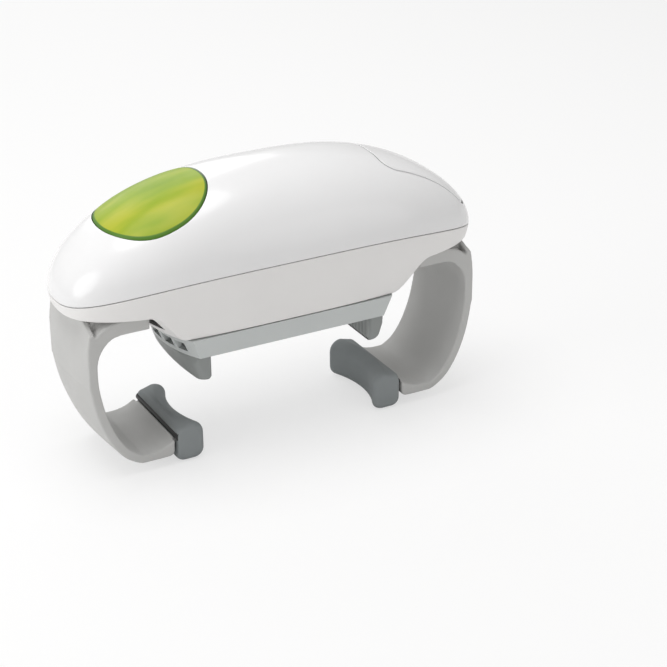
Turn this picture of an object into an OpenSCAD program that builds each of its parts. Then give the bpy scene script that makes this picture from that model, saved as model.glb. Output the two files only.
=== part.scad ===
// Battery jar opener. Two C-shaped arms close from the sides on their rubber pads, two jaws close
// under a turning carriage, and a motor in the body turns the carriage. Millimetres, +Z up, the
// pads' underside at z = 0, the turning axis is the Z axis, the button is on the -X half and the
// battery cover on the +X half.

/* [Body] */
// Length of the body over its blunt ends
body_l = 186; // [180:1:196]
// Width of the body at its seam
body_w = 70; // [68:1:76]
// Squareness of the plan outline, 2 is an ellipse
plan_power = 2.7; // [2.4:0.1:3.2]
// Height of the top shell over the seam
crown_h = 33; // [31:0.5:38]
// Height of the lower shell from its deck to the seam at mid length
lower_h = 28.9; // [28:0.1:32]
// How far the seam falls from mid length to the ends
seam_drop = 10; // [8:0.5:10.5]
// Wall of both shells
wall = 2.2; // [1.6:0.1:2.4]
// Height of the raised underside at each end over the deck
end_rise = 13.9; // [13.6:0.1:14.4]
// Plan radius where the slanted end wall meets the raised underside
flare_r = 68.5; // [67:0.5:70]
// Thickness of the deck
deck_t = 2.6; // [2:0.1:3]

/* [Arms] */
// Width of the arm straps
arm_w = 42.8; // [38:0.2:43.2]
// Thickness of the arm straps
arm_t = 3.8; // [3:0.1:4.2]
// Reach of the arms' outer face from the axis, with the pads grip_d apart
arm_reach = 88.2; // [87:0.1:90]
// How far the plates of the arms lie over the deck
rack_lift = 7; // [6.8:0.1:7.2]
// Width between the pads, as shown
grip_d = 85; // [80:1:88]
// Height of each pad
pad_h = 17; // [14:0.5:18]
// Length of the pads across the arms
pad_w = 42.8; // [38:0.2:43.2]
// Radius of the pins that the pads swivel on
pad_pin_r = 1.6; // [1.2:0.1:1.8]

/* [Carriage and jaws] */
// Height of the carriage underside over the table
lid_rest_z = 47.1; // [45:0.1:50]
// Height of the carriage
carriage_h = 8.7; // [8.4:0.1:9.2]
// Width of the carriage between its flats
carriage_w = 51.8; // [50:0.1:51.8]
// Radius of the carriage ends at the top
carriage_r = 52.4; // [51.6:0.1:53]
// Diameter between the jaws, as shown
lid_d = 72.8; // [70:0.1:74]
// How far the jaws hang under the carriage
jaw_drop = 11.8; // [9:0.1:12.5]
// Width of the jaws
jaw_w = 46; // [38:0.5:46]
// Radius of the spindle that turns the carriage
spindle_r = 3; // [2.6:0.1:3.2]

/* [Button and battery cover] */
// Half length of the button along the body
button_a = 22; // [20:0.5:23]
// Half width of the button across the body
button_b = 23.6; // [21:0.2:24]
// Distance of the button's middle from the axis
button_x = 50.4; // [49.6:0.1:51]
// Travel of the button
button_travel = 1.5; // [1:0.1:1.8]
// Length of the battery cover
cover_l = 40; // [36:1:42]
// Width of the battery cover
cover_w = 35; // [33:0.5:36]
// Distance of the cover's middle from the end of the body
cover_end = 26; // [25:0.5:27]

/* [Drive] */
// Teeth of the gear on the spindle
output_teeth = 50; // [48:1:52]
// Teeth of the pinions on the motor and on the first gear
small_teeth = 12; // [12:1:14]
// Teeth of the two large reduction gears
large_teeth = 48; // [46:1:50]
// Teeth of the pinion between the arms' racks
arm_pinion_teeth = 18; // [18:2:20]
// Teeth of the pinion between the jaws' racks
jaw_pinion_teeth = 12; // [12:2:14]
// Diameter of the motor can
motor_d = 24; // [22:0.2:24.4]
// Length of the motor can
motor_h = 20; // [18:0.5:20.5]
// Distance of the motor from the axis
motor_x = 50; // [49.6:0.1:50.6]
// Diameter of a battery cell
cell_d = 14.4; // [13.8:0.1:14.6]
// Length of a battery cell
cell_l = 50.5; // [49:0.5:51]

/* [Clearances] */
// Gap between parts that slide or turn past each other
gap = 0.3; // [0.2:0.05:0.4]
// Gap round the button and the battery cover
lid_gap = 0.35; // [0.25:0.05:0.5]
// Radial clearance of a shaft in its bearing
shaft_gap = 0.05; // [0.03:0.01:0.08]
// Backlash of the gears and racks
backlash = 0.16; // [0.1:0.02:0.24]

/* [Hidden] */
$fn = 48;
e = 0.01;                                   // overrun of a cut past the face it opens

// Levels, from the table up
carriage_top = lid_rest_z + carriage_h;
deck_z = carriage_top + gap;
deck_top = deck_z + deck_t;
rack_z = deck_z + rack_lift;
end_under_z = deck_z + end_rise;
chassis_t = wall - 0.4;
chassis_z = end_under_z + wall - chassis_t;
chassis_top = chassis_z + chassis_t;
seam_mid_z = deck_z + lower_h;
cover_x = body_l / 2 - cover_end;
seam_power = 3;                             // how late the seam starts to fall
crown_power = 2.1;                          // roundness of the crown

// ---------------------------------------------------------------- curves and lofts
function spow(v, p) = sign(v) * pow(abs(v), p);
function oval(t, a, b, p) = [a * spow(cos(t), 2 / p), b * spow(sin(t), 2 / p)];
function gauge(x, y, a, b, p) = pow(pow(abs(x) / a, p) + pow(abs(y) / b, p), 1 / p);
function seam_z(x) = seam_mid_z - seam_drop * pow(min(abs(x) / (body_l / 2), 1), seam_power);

// Height of the top shell's surface over a point, set in by the given depth
function crown(rho, inset) =
    (crown_h - inset) * pow(max(1 - pow(min(rho, 1), 2), 0), 1 / crown_power);
function top_z(x, y, inset) =
    seam_z(x) + crown(gauge(x, y, body_l / 2 - inset, body_w / 2 - inset, plan_power), inset);

// A closed solid through rings of equal count, from the top down, with a fan to a tip at each end
module loft(rings, top_tip, low_tip) {
    n = len(rings[0]);
    m = len(rings);
    points = concat([for (r = rings) each r], [top_tip, low_tip]);
    faces = concat(
        [for (i = [0:n - 1]) [n * m, (i + 1) % n, i]],
        [for (k = [0:m - 2], i = [0:n - 1]) each [
            [k * n + i, k * n + (i + 1) % n, (k + 1) * n + i],
            [k * n + (i + 1) % n, (k + 1) * n + (i + 1) % n, (k + 1) * n + i]]],
        [for (i = [0:n - 1]) [n * m + 1, (m - 1) * n + i, (m - 1) * n + (i + 1) % n]]);
    polyhedron(points, faces, convexity = 6);
}

// Points of a smooth curve through hand-set points
function curve(p, steps) = concat([for (i = [0:len(p) - 2], s = [0:steps - 1])
    let (a = p[max(i - 1, 0)], b = p[i], c = p[i + 1], d = p[min(i + 2, len(p) - 1)], u = s / steps)
    0.5 * (2 * b + (c - a) * u + (2 * a - 5 * b + 4 * c - d) * u * u
        + (3 * b - a - 3 * c + d) * u * u * u)], [p[len(p) - 1]]);

// ---------------------------------------------------------------- gears and racks
pressure = 20;
function add(m) = 0.75 * m;                 // addendum, cut short so that few teeth run free
function ded(m) = 1.1 * m;
function inv(a) = tan(a) * 180 / PI - a;
function flank(rb, r) = r > rb ? inv(acos(rb / r)) : 0;

// Outline of a gear whose tooth 0 points along +X
function gear_points(m, n) =
    let (r = m * n / 2, rb = r * cos(pressure), ra = r + add(m), rf = r - ded(m),
        half = 90 / n - backlash / 2 / r * 180 / PI + inv(pressure),
        radii = [for (k = [0:4]) max(rb, rf) + (ra - max(rb, rf)) * k / 4])
    [for (i = [0:n - 1]) each concat(
        [rf * [cos(360 * i / n - half - 0.3), sin(360 * i / n - half - 0.3)]],
        [for (k = [0:4]) let (t = 360 * i / n - half + flank(rb, radii[k]))
            radii[k] * [cos(t), sin(t)]],
        [for (k = [4:-1:0]) let (t = 360 * i / n + half - flank(rb, radii[k]))
            radii[k] * [cos(t), sin(t)]],
        [rf * [cos(360 * i / n + half + 0.3), sin(360 * i / n + half + 0.3)]])];

module gear(m, n, h, turn = 0) {
    rotate(turn) linear_extrude(h) polygon(gear_points(m, n));
}

// Rack along X with its pitch line on y = 0 and its teeth towards -Y, tooth 0 on x = 0
module rack(m, first, last, from, to, depth, h) {
    half = PI * m / 4 - backlash / 2;
    tip = add(m);
    root = ded(m);
    slope = tan(pressure);
    linear_extrude(h) polygon(concat(
        [[to, root], [to, root + depth], [from, root + depth], [from, root]],
        [for (i = [first:last]) each [
            [PI * m * i - half - root * slope, root], [PI * m * i - half + tip * slope, -tip],
            [PI * m * i + half - tip * slope, -tip], [PI * m * i + half + root * slope, root]]]));
}

// Turn that a gear needs at angle a from another gear of n1 teeth turned by t1
function mesh_turn(n1, t1, a, n2) = a + 180 + (180 - n1 * (t1 - a)) / n2;

// ---------------------------------------------------------------- drive layout
rack_m = 1;                                 // module of both racks and their pinions
fine_m = 0.5;                               // module of the two reduction stages
output_m = 0.8;                             // module of the last stage
last_teeth = 14;
sleeve_r = spindle_r + 2.5;                 // bearing sleeve that stands on the deck
arm_pitch_r = rack_m * arm_pinion_teeth / 2;
jaw_pitch_r = rack_m * jaw_pinion_teeth / 2;
fine_reach = fine_m * (small_teeth + large_teeth) / 2;
last_reach = output_m * (output_teeth + last_teeth) / 2;
second_a = 165;                             // direction of the second gear from the axis
second_at = last_reach * [cos(second_a), sin(second_a)];
motor_at = [-motor_x, 0];
to_second = second_at - motor_at;
half_span = norm(to_second) / 2;
first_at = motor_at + to_second / 2
    + sqrt(max(fine_reach * fine_reach - half_span * half_span, 0))
    * [to_second[1], -to_second[0]] / norm(to_second);
function heading(v) = atan2(v[1], v[0]);
output_z = chassis_top + 0.8;
output_h = 5;
pinion_z = chassis_top + motor_h + 1;       // motor pinion, over the motor
pinion_h = 4;
first_z = pinion_z + 0.3;                   // large wheel of the first gear
first_h = pinion_h - 0.6;
second_h = 4;
second_z = first_z - 0.8 - second_h;        // large wheel of the second gear
bridge_z = pinion_z + pinion_h + 0.8;
bridge_t = 1.8;
bridge_posts = [[-24, -19], [-24, 24]];
axle_r = 1;
hub_r = 2;                                  // hubs that keep the gears from rising on their axles
second_turn = mesh_turn(output_teeth, 0, second_a, last_teeth);
first_turn = mesh_turn(large_teeth, second_turn, heading(first_at - second_at), small_teeth);
motor_turn = mesh_turn(large_teeth, first_turn, heading(motor_at - first_at), small_teeth);

// ---------------------------------------------------------------- body shells
plan_steps = 56;
// Ring of the top shell at the share rho of its outline
function crown_ring(rho, inset) = [for (i = [0:plan_steps - 1])
    let (p = rho * oval(360 * i / plan_steps, body_l / 2 - inset, body_w / 2 - inset, plan_power))
    [p[0], p[1], seam_z(p[0]) + crown(rho, inset)]];
// Ring of the lower shell's side, at the share v of the way down to the floor
side_in = 9;                                // how far the side walls draw in down to the deck
side_power = 1.25;
function side_fall(z) = side_in * pow(max(seam_mid_z - z, 0) / lower_h, side_power);
function side_ring(v, inset, floor_z, under) = [for (i = [0:plan_steps - 1])
    let (q = oval(360 * i / plan_steps, body_l / 2 - inset, body_w / 2 - inset, plan_power),
        rim = seam_z(q[0]) - under,
        z = rim + v * (floor_z - rim),
        d = side_in * pow(max(seam_z(q[0]) - z, 0) / lower_h, side_power),
        p = oval(360 * i / plan_steps, body_l / 2 - inset - d, body_w / 2 - inset - d, plan_power))
    [p[0], p[1], z]];
shell_rings = 11;
seam_line = 0.25;                           // groove left between the two shells
shell_boss_at = [32, 21.5];
shell_boss_r = 3;
shell_screw_r = 1.1;
screw_hole = 9;                             // depth of the screws' holes in the top shell
screw_seat_r = 2.6;                         // recess for the heads of the shell screws
screw_seat_h = deck_t + 3;

// The top shell before anything is cut into it
module crown_form() {
    loft(concat(
        [for (k = [1:shell_rings]) crown_ring(sin(90 * k / shell_rings), 0)],
        [for (k = [shell_rings:-1:1]) crown_ring(sin(90 * k / shell_rings), wall)]),
        [0, 0, top_z(0, 0, 0)], [0, 0, top_z(0, 0, wall)]);
}

button_steps = 48;
button_power = 2.25;
function button_ring(share, grow, drop) = [for (i = [0:button_steps - 1])
    let (p = oval(360 * i / button_steps, button_a * share + grow, button_b * share + grow,
        button_power), x = p[0] - button_x)
    [x, p[1], top_z(x, p[1], 0) - drop]];

module button_prism(grow) {
    translate([-button_x, 0, 0]) linear_extrude(seam_mid_z + crown_h + 10)
        polygon([for (i = [0:button_steps - 1])
            oval(360 * i / button_steps, button_a + grow, button_b + grow, button_power)]);
}

module round_plate(l, w, r) {
    square([l, w - 2 * r], center = true);
    square([l - 2 * r, w], center = true);
    for (sx = [-1, 1], sy = [-1, 1]) translate([sx * (l / 2 - r), sy * (w / 2 - r)]) circle(r);
}

module cover_prism(shrink) {
    translate([cover_x, 0, seam_mid_z - seam_drop - wall]) linear_extrude(crown_h + seam_drop + 10)
        round_plate(cover_l - 2 * shrink, cover_w - 2 * shrink, 6);
}

module top_shell() {
    collar_d = 6.5;
    collar_t = 1.2;
    boss_top = top_z(shell_boss_at[0] + shell_boss_r / 2, shell_boss_at[1] + shell_boss_r, wall / 2);
    color("white") {
        difference() {
            union() {
                crown_form();
                loft([button_ring(1, lid_gap + collar_t, wall / 2),
                    button_ring(1, lid_gap + collar_t, collar_d)],
                    [-button_x, 0, top_z(-button_x, 0, wall / 2)],
                    [-button_x, 0, top_z(-button_x, 0, collar_d)]);
            }
            button_prism(lid_gap);
            cover_prism(0);
        }
        for (sx = [-1, 1], sy = [-1, 1])
            translate([sx * shell_boss_at[0], sy * shell_boss_at[1], chassis_top + gap])
                difference() {
                    cylinder(r = shell_boss_r, h = boss_top - chassis_top - gap);
                    translate([0, 0, -e]) cylinder(r = shell_screw_r, h = screw_hole);
                }
    }
}

// Revolved underside: flat over the carriage, a slanted wall, then the raised end
function flare(u) = 3 * u * u - 2 * u * u * u;
function flare_line(set_in, lift) = [for (k = [0:10])
    [carriage_r + gap - set_in + (flare_r - carriage_r - gap) * k / 10,
        deck_z + lift + end_rise * flare(k / 10)]];
module underside(set_in, lift) {
    far = body_l;
    rotate_extrude($fn = 96) polygon(concat([[0, deck_z + lift]], flare_line(set_in, lift),
        [[far, end_under_z + lift], [far, seam_mid_z + 12], [0, seam_mid_z + 12]]));
}

module lower_shell() {
    side_rings = 7;
    slot_h = end_under_z - gap - rack_z;
    slot_lead = 1.5;                        // room under the arms' plates
    color("whitesmoke") difference() {
        union() {
            difference() {
                intersection() {
                    loft([for (k = [0:side_rings]) side_ring(k / side_rings, 0, deck_z - 1, seam_line)],
                        [0, 0, seam_mid_z - seam_line], [0, 0, deck_z - 1]);
                    underside(0, 0);
                }
                intersection() {
                    loft([for (k = [0:side_rings]) side_ring(k / side_rings, wall, deck_z, -4)],
                        [0, 0, seam_mid_z + 4], [0, 0, deck_z]);
                    underside(wall, wall);
                }
            }
            for (sx = [-1, 1], sy = [-1, 1]) {
                translate([sx * shell_boss_at[0], sy * shell_boss_at[1], deck_top - 1]) {
                    cylinder(r = screw_seat_r + 1, h = screw_seat_h - deck_t + 2);
                    cylinder(r = shell_boss_r, h = chassis_z - deck_top + 1);
                }
                translate([sx * chassis_post_x, sy * chassis_post_y, deck_top - 1])
                    cylinder(r = 3, h = chassis_z - deck_top + 1);
            }
            translate([0, 0, deck_top - 1]) cylinder(r = sleeve_r, h = output_z - gap - deck_top + 1);
        }
        for (s = [-1, 1])
            translate([s > 0 ? rack_end : -rack_end - body_l / 2, -arm_w / 2 - gap, rack_z - slot_lead])
                cube([body_l / 2, arm_w + 2 * gap, slot_h + slot_lead]);
        translate([0, 0, deck_z - e]) cylinder(r = spindle_r + shaft_gap, h = lower_h);
        for (sx = [-1, 1], sy = [-1, 1]) {
            translate([sx * shell_boss_at[0], sy * shell_boss_at[1], deck_z - e]) {
                cylinder(r = shell_screw_r + 0.4, h = lower_h);
                cylinder(r = screw_seat_r, h = screw_seat_h + e);
            }
            translate([sx * chassis_post_x, sy * chassis_post_y, chassis_z - 7])
                cylinder(r = 1, h = 8);
        }
    }
}
chassis_post_x = 14;
chassis_post_y = 22.5;
rack_end = 50;                              // the slots for the arms begin here

module button() {
    cap_t = 1.8;
    skirt_d = 4.6;
    skirt_t = 1.4;
    color("yellowgreen") {
        loft(concat(
            [for (k = [1:6]) button_ring(k / 7, 0, -0.5 + 0.5 * pow(k / 7, 4))],
            [button_ring(0.975, 0, -0.1), button_ring(1, 0, 0.45), button_ring(1, 0, skirt_d),
                button_ring(1, -skirt_t, skirt_d), button_ring(1, -skirt_t, cap_t)],
            [for (k = [5:-1:1]) button_ring(k / 7, 0, cap_t)]),
            [-button_x, 0, top_z(-button_x, 0, 0) + 0.5], [-button_x, 0, top_z(-button_x, 0, 0) - cap_t]);
        // stem over the switch, and the seat of the spring
        translate([-switch_x, 0, plunger_top + gap]) rotate(5)
            cylinder(r = 2.2, h = top_z(-switch_x, 0, cap_t / 2) - plunger_top - gap);
        translate([-spring_x, 0, spring_top]) rotate(5)
            cylinder(r = spring_r + 1, h = top_z(-spring_x, 0, cap_t / 2) - spring_top);
    }
}

// ---------------------------------------------------------------- switch, board and spring
board_z = bridge_z;
board_t = 1.6;
board_top = board_z + board_t;
board_from = 42;
board_to = 62;
board_w = 34;
board_post_at = [[-54, 14], [-46, 14.6]];
board_screw_r = 1;
switch_x = 48;
switch_w = 6;
switch_h = 5;
plunger_r = 1.7;
plunger_in = 2.5;                           // length of the plunger inside the switch
plunger_top = board_top + switch_h + button_travel + 0.5;
spring_x = 56.5;
spring_r = 3;
spring_wire = 0.35;
spring_top = board_top + 5.4;

module circuit_board() {
    color("darkgreen") difference() {
        translate([-board_to, -board_w / 2, board_z]) cube([board_to - board_from, board_w, board_t]);
        for (p = board_post_at, s = [-1, 1]) translate([p[0], s * p[1], board_z - e])
            cylinder(r = board_screw_r + 0.15, h = board_t + 2 * e);
    }
}

module board_screws() {
    color("silver") for (p = board_post_at, s = [-1, 1]) translate([p[0], s * p[1], board_top]) {
        cylinder(r = 1.9, h = 1.2);
        translate([0, 0, -6]) cylinder(r = board_screw_r, h = 6 + e);
    }
}

module switch() {
    depth = plunger_in + button_travel + gap;
    color("dimgray") translate([-switch_x, 0, board_top]) difference() {
        translate([-switch_w / 2, -switch_w / 2, 0]) cube([switch_w, switch_w, switch_h]);
        translate([0, 0, switch_h - depth]) cylinder(r = plunger_r + shaft_gap, h = depth + e);
    }
}

module switch_plunger() {
    bottom = board_top + switch_h - plunger_in;
    color("black") translate([-switch_x, 0, bottom]) cylinder(r = plunger_r, h = plunger_top - bottom);
}

// Compression spring under the button: one unbroken wire, with a flat turn at each end
module button_spring() {
    turns = 5;
    flat = 0.6;                             // share of a turn that lies flat at each end
    per_turn = 12;
    sides = 6;
    h = spring_top - board_top - 2 * spring_wire;
    rings = [for (i = [turns * per_turn:-1:0])
        let (u = i / per_turn, t = 360 * u,
            lift = spring_wire + h * min(max((u - flat) / (turns - 2 * flat), 0), 1))
        [for (j = [0:sides - 1]) let (r = spring_r + spring_wire * cos(360 * j / sides))
            [r * cos(t), r * sin(t), lift + spring_wire * sin(360 * j / sides)]]];
    color("silver") translate([-spring_x, 0, board_top])
        loft(rings, [spring_r, 0, h + spring_wire], [spring_r, 0, spring_wire]);
}

// ---------------------------------------------------------------- chassis, motor and gears
chassis_steps = 48;
chassis_room = 1.4;                         // from the chassis to the walls round it
// Share of the slanted end wall at which it has risen by a share of its height
function flare_at(rise) = 0.5 - sin(asin(1 - 2 * rise) / 3);
chassis_a = carriage_r + gap - wall - chassis_room
    + (flare_r - carriage_r - gap) * flare_at((chassis_z - deck_z - wall) / end_rise);
chassis_b = body_w / 2 - wall - chassis_room - side_fall(chassis_z);
chassis_power = 3;
bridge_screw_r = 1;
module chassis() {
    post_drill = 7;
    color("dimgray") difference() {
        union() {
            translate([0, 0, chassis_z]) linear_extrude(chassis_t)
                polygon([for (i = [0:chassis_steps - 1])
                    oval(360 * i / chassis_steps, chassis_a, chassis_b, chassis_power)]);
            for (p = board_post_at, s = [-1, 1]) translate([p[0], s * p[1], chassis_top - e])
                cylinder(r = 2, h = board_z - chassis_top + e);
            for (p = bridge_posts) translate([p[0], p[1], chassis_top - e])
                cylinder(r = 2.4, h = bridge_z - chassis_top + e);
        }
        translate([0, 0, chassis_z - e]) cylinder(r = sleeve_r + gap, h = chassis_t + 2 * e);
        for (p = board_post_at, s = [-1, 1]) translate([p[0], s * p[1], board_z - post_drill])
            cylinder(r = board_screw_r, h = post_drill + e);
        for (p = bridge_posts) translate([p[0], p[1], bridge_z - post_drill])
            cylinder(r = bridge_screw_r, h = post_drill + e);
        for (p = [first_at, second_at]) translate([p[0], p[1], chassis_z - e])
            cylinder(r = axle_r, h = chassis_t + 2 * e);
        for (sx = [-1, 1], sy = [-1, 1]) {
            translate([sx * chassis_post_x, sy * chassis_post_y, chassis_z - e])
                cylinder(r = 1.3, h = chassis_t + 2 * e);
            translate([sx * shell_boss_at[0], sy * shell_boss_at[1], chassis_z - e])
                cylinder(r = 1.7, h = chassis_t + 2 * e);
        }
    }
}

// Four screws hold the chassis to the lower shell, two hold the bridge to its posts
module chassis_screws() {
    color("silver") {
        for (sx = [-1, 1], sy = [-1, 1])
            translate([sx * chassis_post_x, sy * chassis_post_y, chassis_top]) {
                cylinder(r = 2.1, h = 1.4);
                translate([0, 0, -8]) cylinder(r = 1, h = 8 + e);
            }
        for (p = bridge_posts) translate([p[0], p[1], bridge_z + bridge_t]) {
            cylinder(r = 1.9, h = 1.2);
            translate([0, 0, -6]) cylinder(r = bridge_screw_r, h = 6 + e);
        }
    }
}

module gear_bridge() {
    color("dimgray") difference() {
        translate([0, 0, bridge_z]) hull() {
            for (p = concat(bridge_posts, [first_at, second_at])) translate([p[0], p[1], 0])
                cylinder(r = 3, h = bridge_t, $fn = 32);
        }
        for (p = bridge_posts) translate([p[0], p[1], bridge_z - e])
            cylinder(r = bridge_screw_r, h = bridge_t + 2 * e);
        for (p = [first_at, second_at]) translate([p[0], p[1], bridge_z - e])
            cylinder(r = axle_r, h = bridge_t + 2 * e);
    }
}

module gear_axles() {
    color("silver") for (p = [first_at, second_at]) translate([p[0], p[1], chassis_z])
        cylinder(r = axle_r, h = bridge_z + bridge_t - chassis_z);
}

module motor() {
    flats = motor_d - 4;
    color("silver") translate([motor_at[0], motor_at[1], chassis_top]) difference() {
        union() {
            intersection() {
                cylinder(r = motor_d / 2, h = motor_h);
                translate([-flats / 2, -motor_d, -e]) cube([flats, 2 * motor_d, motor_h + 2 * e]);
            }
            cylinder(r = 3.2, h = motor_h + 0.6);
        }
        translate([0, 0, motor_h - shaft_in]) cylinder(r = axle_r + shaft_gap, h = shaft_in + 1);
    }
}
shaft_in = 12;                              // bore of the motor that its shaft turns in

module motor_shaft() {
    color("silver") translate([motor_at[0], motor_at[1], chassis_top + motor_h - shaft_in + gap])
        cylinder(r = axle_r, h = shaft_in - gap + pinion_z + pinion_h - chassis_top - motor_h);
}

module motor_pinion() {
    color("goldenrod") translate([motor_at[0], motor_at[1], pinion_z]) difference() {
        gear(fine_m, small_teeth, pinion_h, motor_turn);
        translate([0, 0, -e]) cylinder(r = axle_r, h = pinion_h + 2 * e);
    }
}

// Both reduction gears have a large wheel over a pinion, on a hub that runs from chassis to bridge
module first_gear() {
    pinion_low = second_z - 0.5;
    hub_low = chassis_top + gap;
    color("ivory") translate([first_at[0], first_at[1], 0]) difference() {
        union() {
            translate([0, 0, first_z]) gear(fine_m, large_teeth, first_h, first_turn);
            translate([0, 0, pinion_low])
                gear(fine_m, small_teeth, first_z - pinion_low + e, first_turn);
            translate([0, 0, hub_low]) cylinder(r = hub_r, h = bridge_z - gap - hub_low);
        }
        translate([0, 0, chassis_top]) cylinder(r = axle_r + shaft_gap, h = bridge_z - chassis_top);
    }
}

module second_gear() {
    hub_low = chassis_top + gap;
    color("ivory") translate([second_at[0], second_at[1], 0]) difference() {
        union() {
            translate([0, 0, second_z]) gear(fine_m, large_teeth, second_h, second_turn);
            translate([0, 0, hub_low])
                gear(output_m, last_teeth, output_z + output_h + 0.5 - hub_low, second_turn);
            translate([0, 0, hub_low]) cylinder(r = 2 * hub_r, h = second_z - hub_low + e);
            translate([0, 0, hub_low]) cylinder(r = hub_r, h = bridge_z - gap - hub_low);
        }
        translate([0, 0, chassis_top]) cylinder(r = axle_r + shaft_gap, h = bridge_z - chassis_top);
    }
}

module output_gear() {
    color("ivory") translate([0, 0, output_z]) difference() {
        union() {
            gear(output_m, output_teeth, output_h);
            cylinder(r = 6, h = output_h + 1);
        }
        translate([0, 0, -e]) cylinder(r = spindle_r, h = output_h + 1 + 2 * e);
        for (i = [0:4]) rotate(72 * i + 36) translate([12, 0, -e]) cylinder(r = 3.4, h = output_h + 1);
    }
}

// Spindle: the carriage hangs on its lower end, a clip over the output gear holds it up
clip_z = output_z + output_h + 1;
clip_t = 0.8;
clip_groove = 0.5;
module spindle() {
    color("silver") difference() {
        translate([0, 0, jaw_rack_z]) cylinder(r = spindle_r, h = clip_z + 2 - jaw_rack_z);
        translate([0, 0, jaw_rack_z - e]) cylinder(r = pinion_screw_r, h = 7);
        translate([0, 0, clip_z]) difference() {
            cylinder(r = spindle_r + 1, h = clip_t);
            translate([0, 0, -e]) cylinder(r = spindle_r - clip_groove, h = clip_t + 2 * e);
        }
    }
}

module spindle_clip() {
    mouth = spindle_r - 1;
    color("gray") translate([0, 0, clip_z]) difference() {
        cylinder(r = spindle_r + 2, h = clip_t);
        translate([0, 0, -e]) cylinder(r = spindle_r - clip_groove, h = clip_t + 2 * e);
        translate([0, -mouth, -e]) cube([spindle_r + 3, 2 * mouth, clip_t + 2 * e]);
    }
}

module shell_screws() {
    head_h = 2;
    low = deck_z + screw_seat_h - head_h;
    color("silver") for (sx = [-1, 1], sy = [-1, 1])
        translate([sx * shell_boss_at[0], sy * shell_boss_at[1], low]) {
            cylinder(r = screw_seat_r - gap, h = head_h);
            cylinder(r = shell_screw_r, h = chassis_top + gap + 8 - low);
        }
}

// ---------------------------------------------------------------- batteries
tray_floor_z = end_under_z + wall + gap;
cell_z = tray_floor_z + 1 + cell_d / 2;
cell_lead = 17.5;                           // how far the cells begin before the cover
cell_from = cover_x - cover_l / 2 - cell_lead;
cell_y = cell_d / 2 + 0.5;
contact_t = 0.6;
contact_half_h = 5;
contact_room = 1.4;                         // space for a contact at each end of the cells
tray_end_t = 1.6;
tray_from = cell_from - contact_room - tray_end_t;
tray_l = cell_l + 2 * (contact_room + tray_end_t);
tray_w = 4 * cell_y + 2.6;

module battery_tray() {
    tray_h = 9;
    rest_t = 1.6;
    rest_l = 4;
    rest_room = 0.8;
    color("gainsboro") difference() {
        union() {
            translate([tray_from + tray_l / 2, 0, tray_floor_z]) linear_extrude(tray_h)
                round_plate(tray_l, tray_w, 4);
            // four rests under the corners of the cover
            for (x = [cover_x - cover_l / 2 + 3, cover_x + cover_l / 2 - 12], s = [-1, 1])
                translate([x, s > 0 ? tray_w / 2 - rest_t : -tray_w / 2, tray_floor_z + tray_h - 1])
                    cube([rest_l, rest_t, top_z(x + rest_l, tray_w / 2, wall) - rest_room
                        - tray_floor_z - tray_h + 1]);
        }
        for (s = [-1, 1]) translate([cell_from - contact_room, s * cell_y, cell_z]) rotate([0, 90, 0])
            cylinder(r = cell_d / 2 + 0.2, h = cell_l + 2 * contact_room);
        translate([cell_from - contact_room, -2 * cell_y + 0.4, cell_z])
            cube([cell_l + 2 * contact_room, 4 * cell_y - 0.8, tray_h]);
        // the bridging contact crosses the web between the cells here
        translate([cell_from + cell_l, -cell_y, cell_z - contact_half_h - gap])
            cube([contact_room, 2 * cell_y, tray_h]);
    }
}

module battery_cells() {
    color("slategray") for (s = [-1, 1]) translate([cell_from, s * cell_y, cell_z]) rotate([0, 90, 0]) {
        translate([0, 0, s > 0 ? 1 : 0]) cylinder(r = cell_d / 2, h = cell_l - 1);
        cylinder(r = 2.7, h = cell_l);
    }
}

// Contact plates, each pressed out to a button towards the cell
module battery_contacts() {
    half_w = 4;
    half_h = contact_half_h;
    button_r = 2.5;
    reach = contact_room - contact_t;
    color("silver") {
        for (s = [-1, 1]) translate([cell_from - contact_room, s * cell_y, cell_z]) {
            translate([0, -half_w, -half_h]) cube([contact_t, 2 * half_w, 2 * half_h]);
            translate([contact_t - e, 0, 0]) rotate([0, 90, 0]) cylinder(r = button_r, h = reach + e);
        }
        translate([cell_from + cell_l + contact_room - contact_t, 0, cell_z]) {
            translate([0, -cell_y - half_w, -half_h])
                cube([contact_t, 2 * (cell_y + half_w), 2 * half_h]);
            for (s = [-1, 1]) translate([-reach, s * cell_y, 0]) rotate([0, 90, 0])
                cylinder(r = button_r, h = reach + e);
        }
    }
}

module battery_cover() {
    color("white") intersection() {
        crown_form();
        cover_prism(lid_gap);
    }
}

// ---------------------------------------------------------------- arms, pads and their pins
arm_open = 6;                               // how far each arm opens from the place shown
arm_close = 18;                             // and how far it closes
function teeth_over(reach) = ceil(reach / (PI * rack_m));
plate_x = 62;                               // where the strap's plate begins
foot_z = 6.2;                               // middle of the strap at its foot
pin_x = grip_d / 2 + 8.6;
pin_z = 12;
strap_end = grip_d / 2 + 11.3;

// Middle line of the strap, from the plate round to the foot, for the arm on the -X side
function strap_z(share) = foot_z + share * (rack_z + arm_t / 2 - foot_z);
strap_line = [
    [-plate_x, strap_z(1)], [-(arm_reach - 14.6), strap_z(1)], [-(arm_reach - 9), strap_z(0.975)],
    [-(arm_reach - 4.6), strap_z(0.90)], [-(arm_reach - 2.3), strap_z(0.80)],
    [-(arm_reach - 2), strap_z(0.66)], [-(arm_reach - 3), strap_z(0.52)],
    [-(arm_reach - 5.2), strap_z(0.36)], [-(arm_reach - 9), strap_z(0.2)],
    [-(arm_reach - 14), strap_z(0.075)], [-(arm_reach - 19.5), strap_z(0.01)],
    [-(arm_reach - 26), strap_z(0)], [-strap_end, strap_z(0.03)]];

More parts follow.
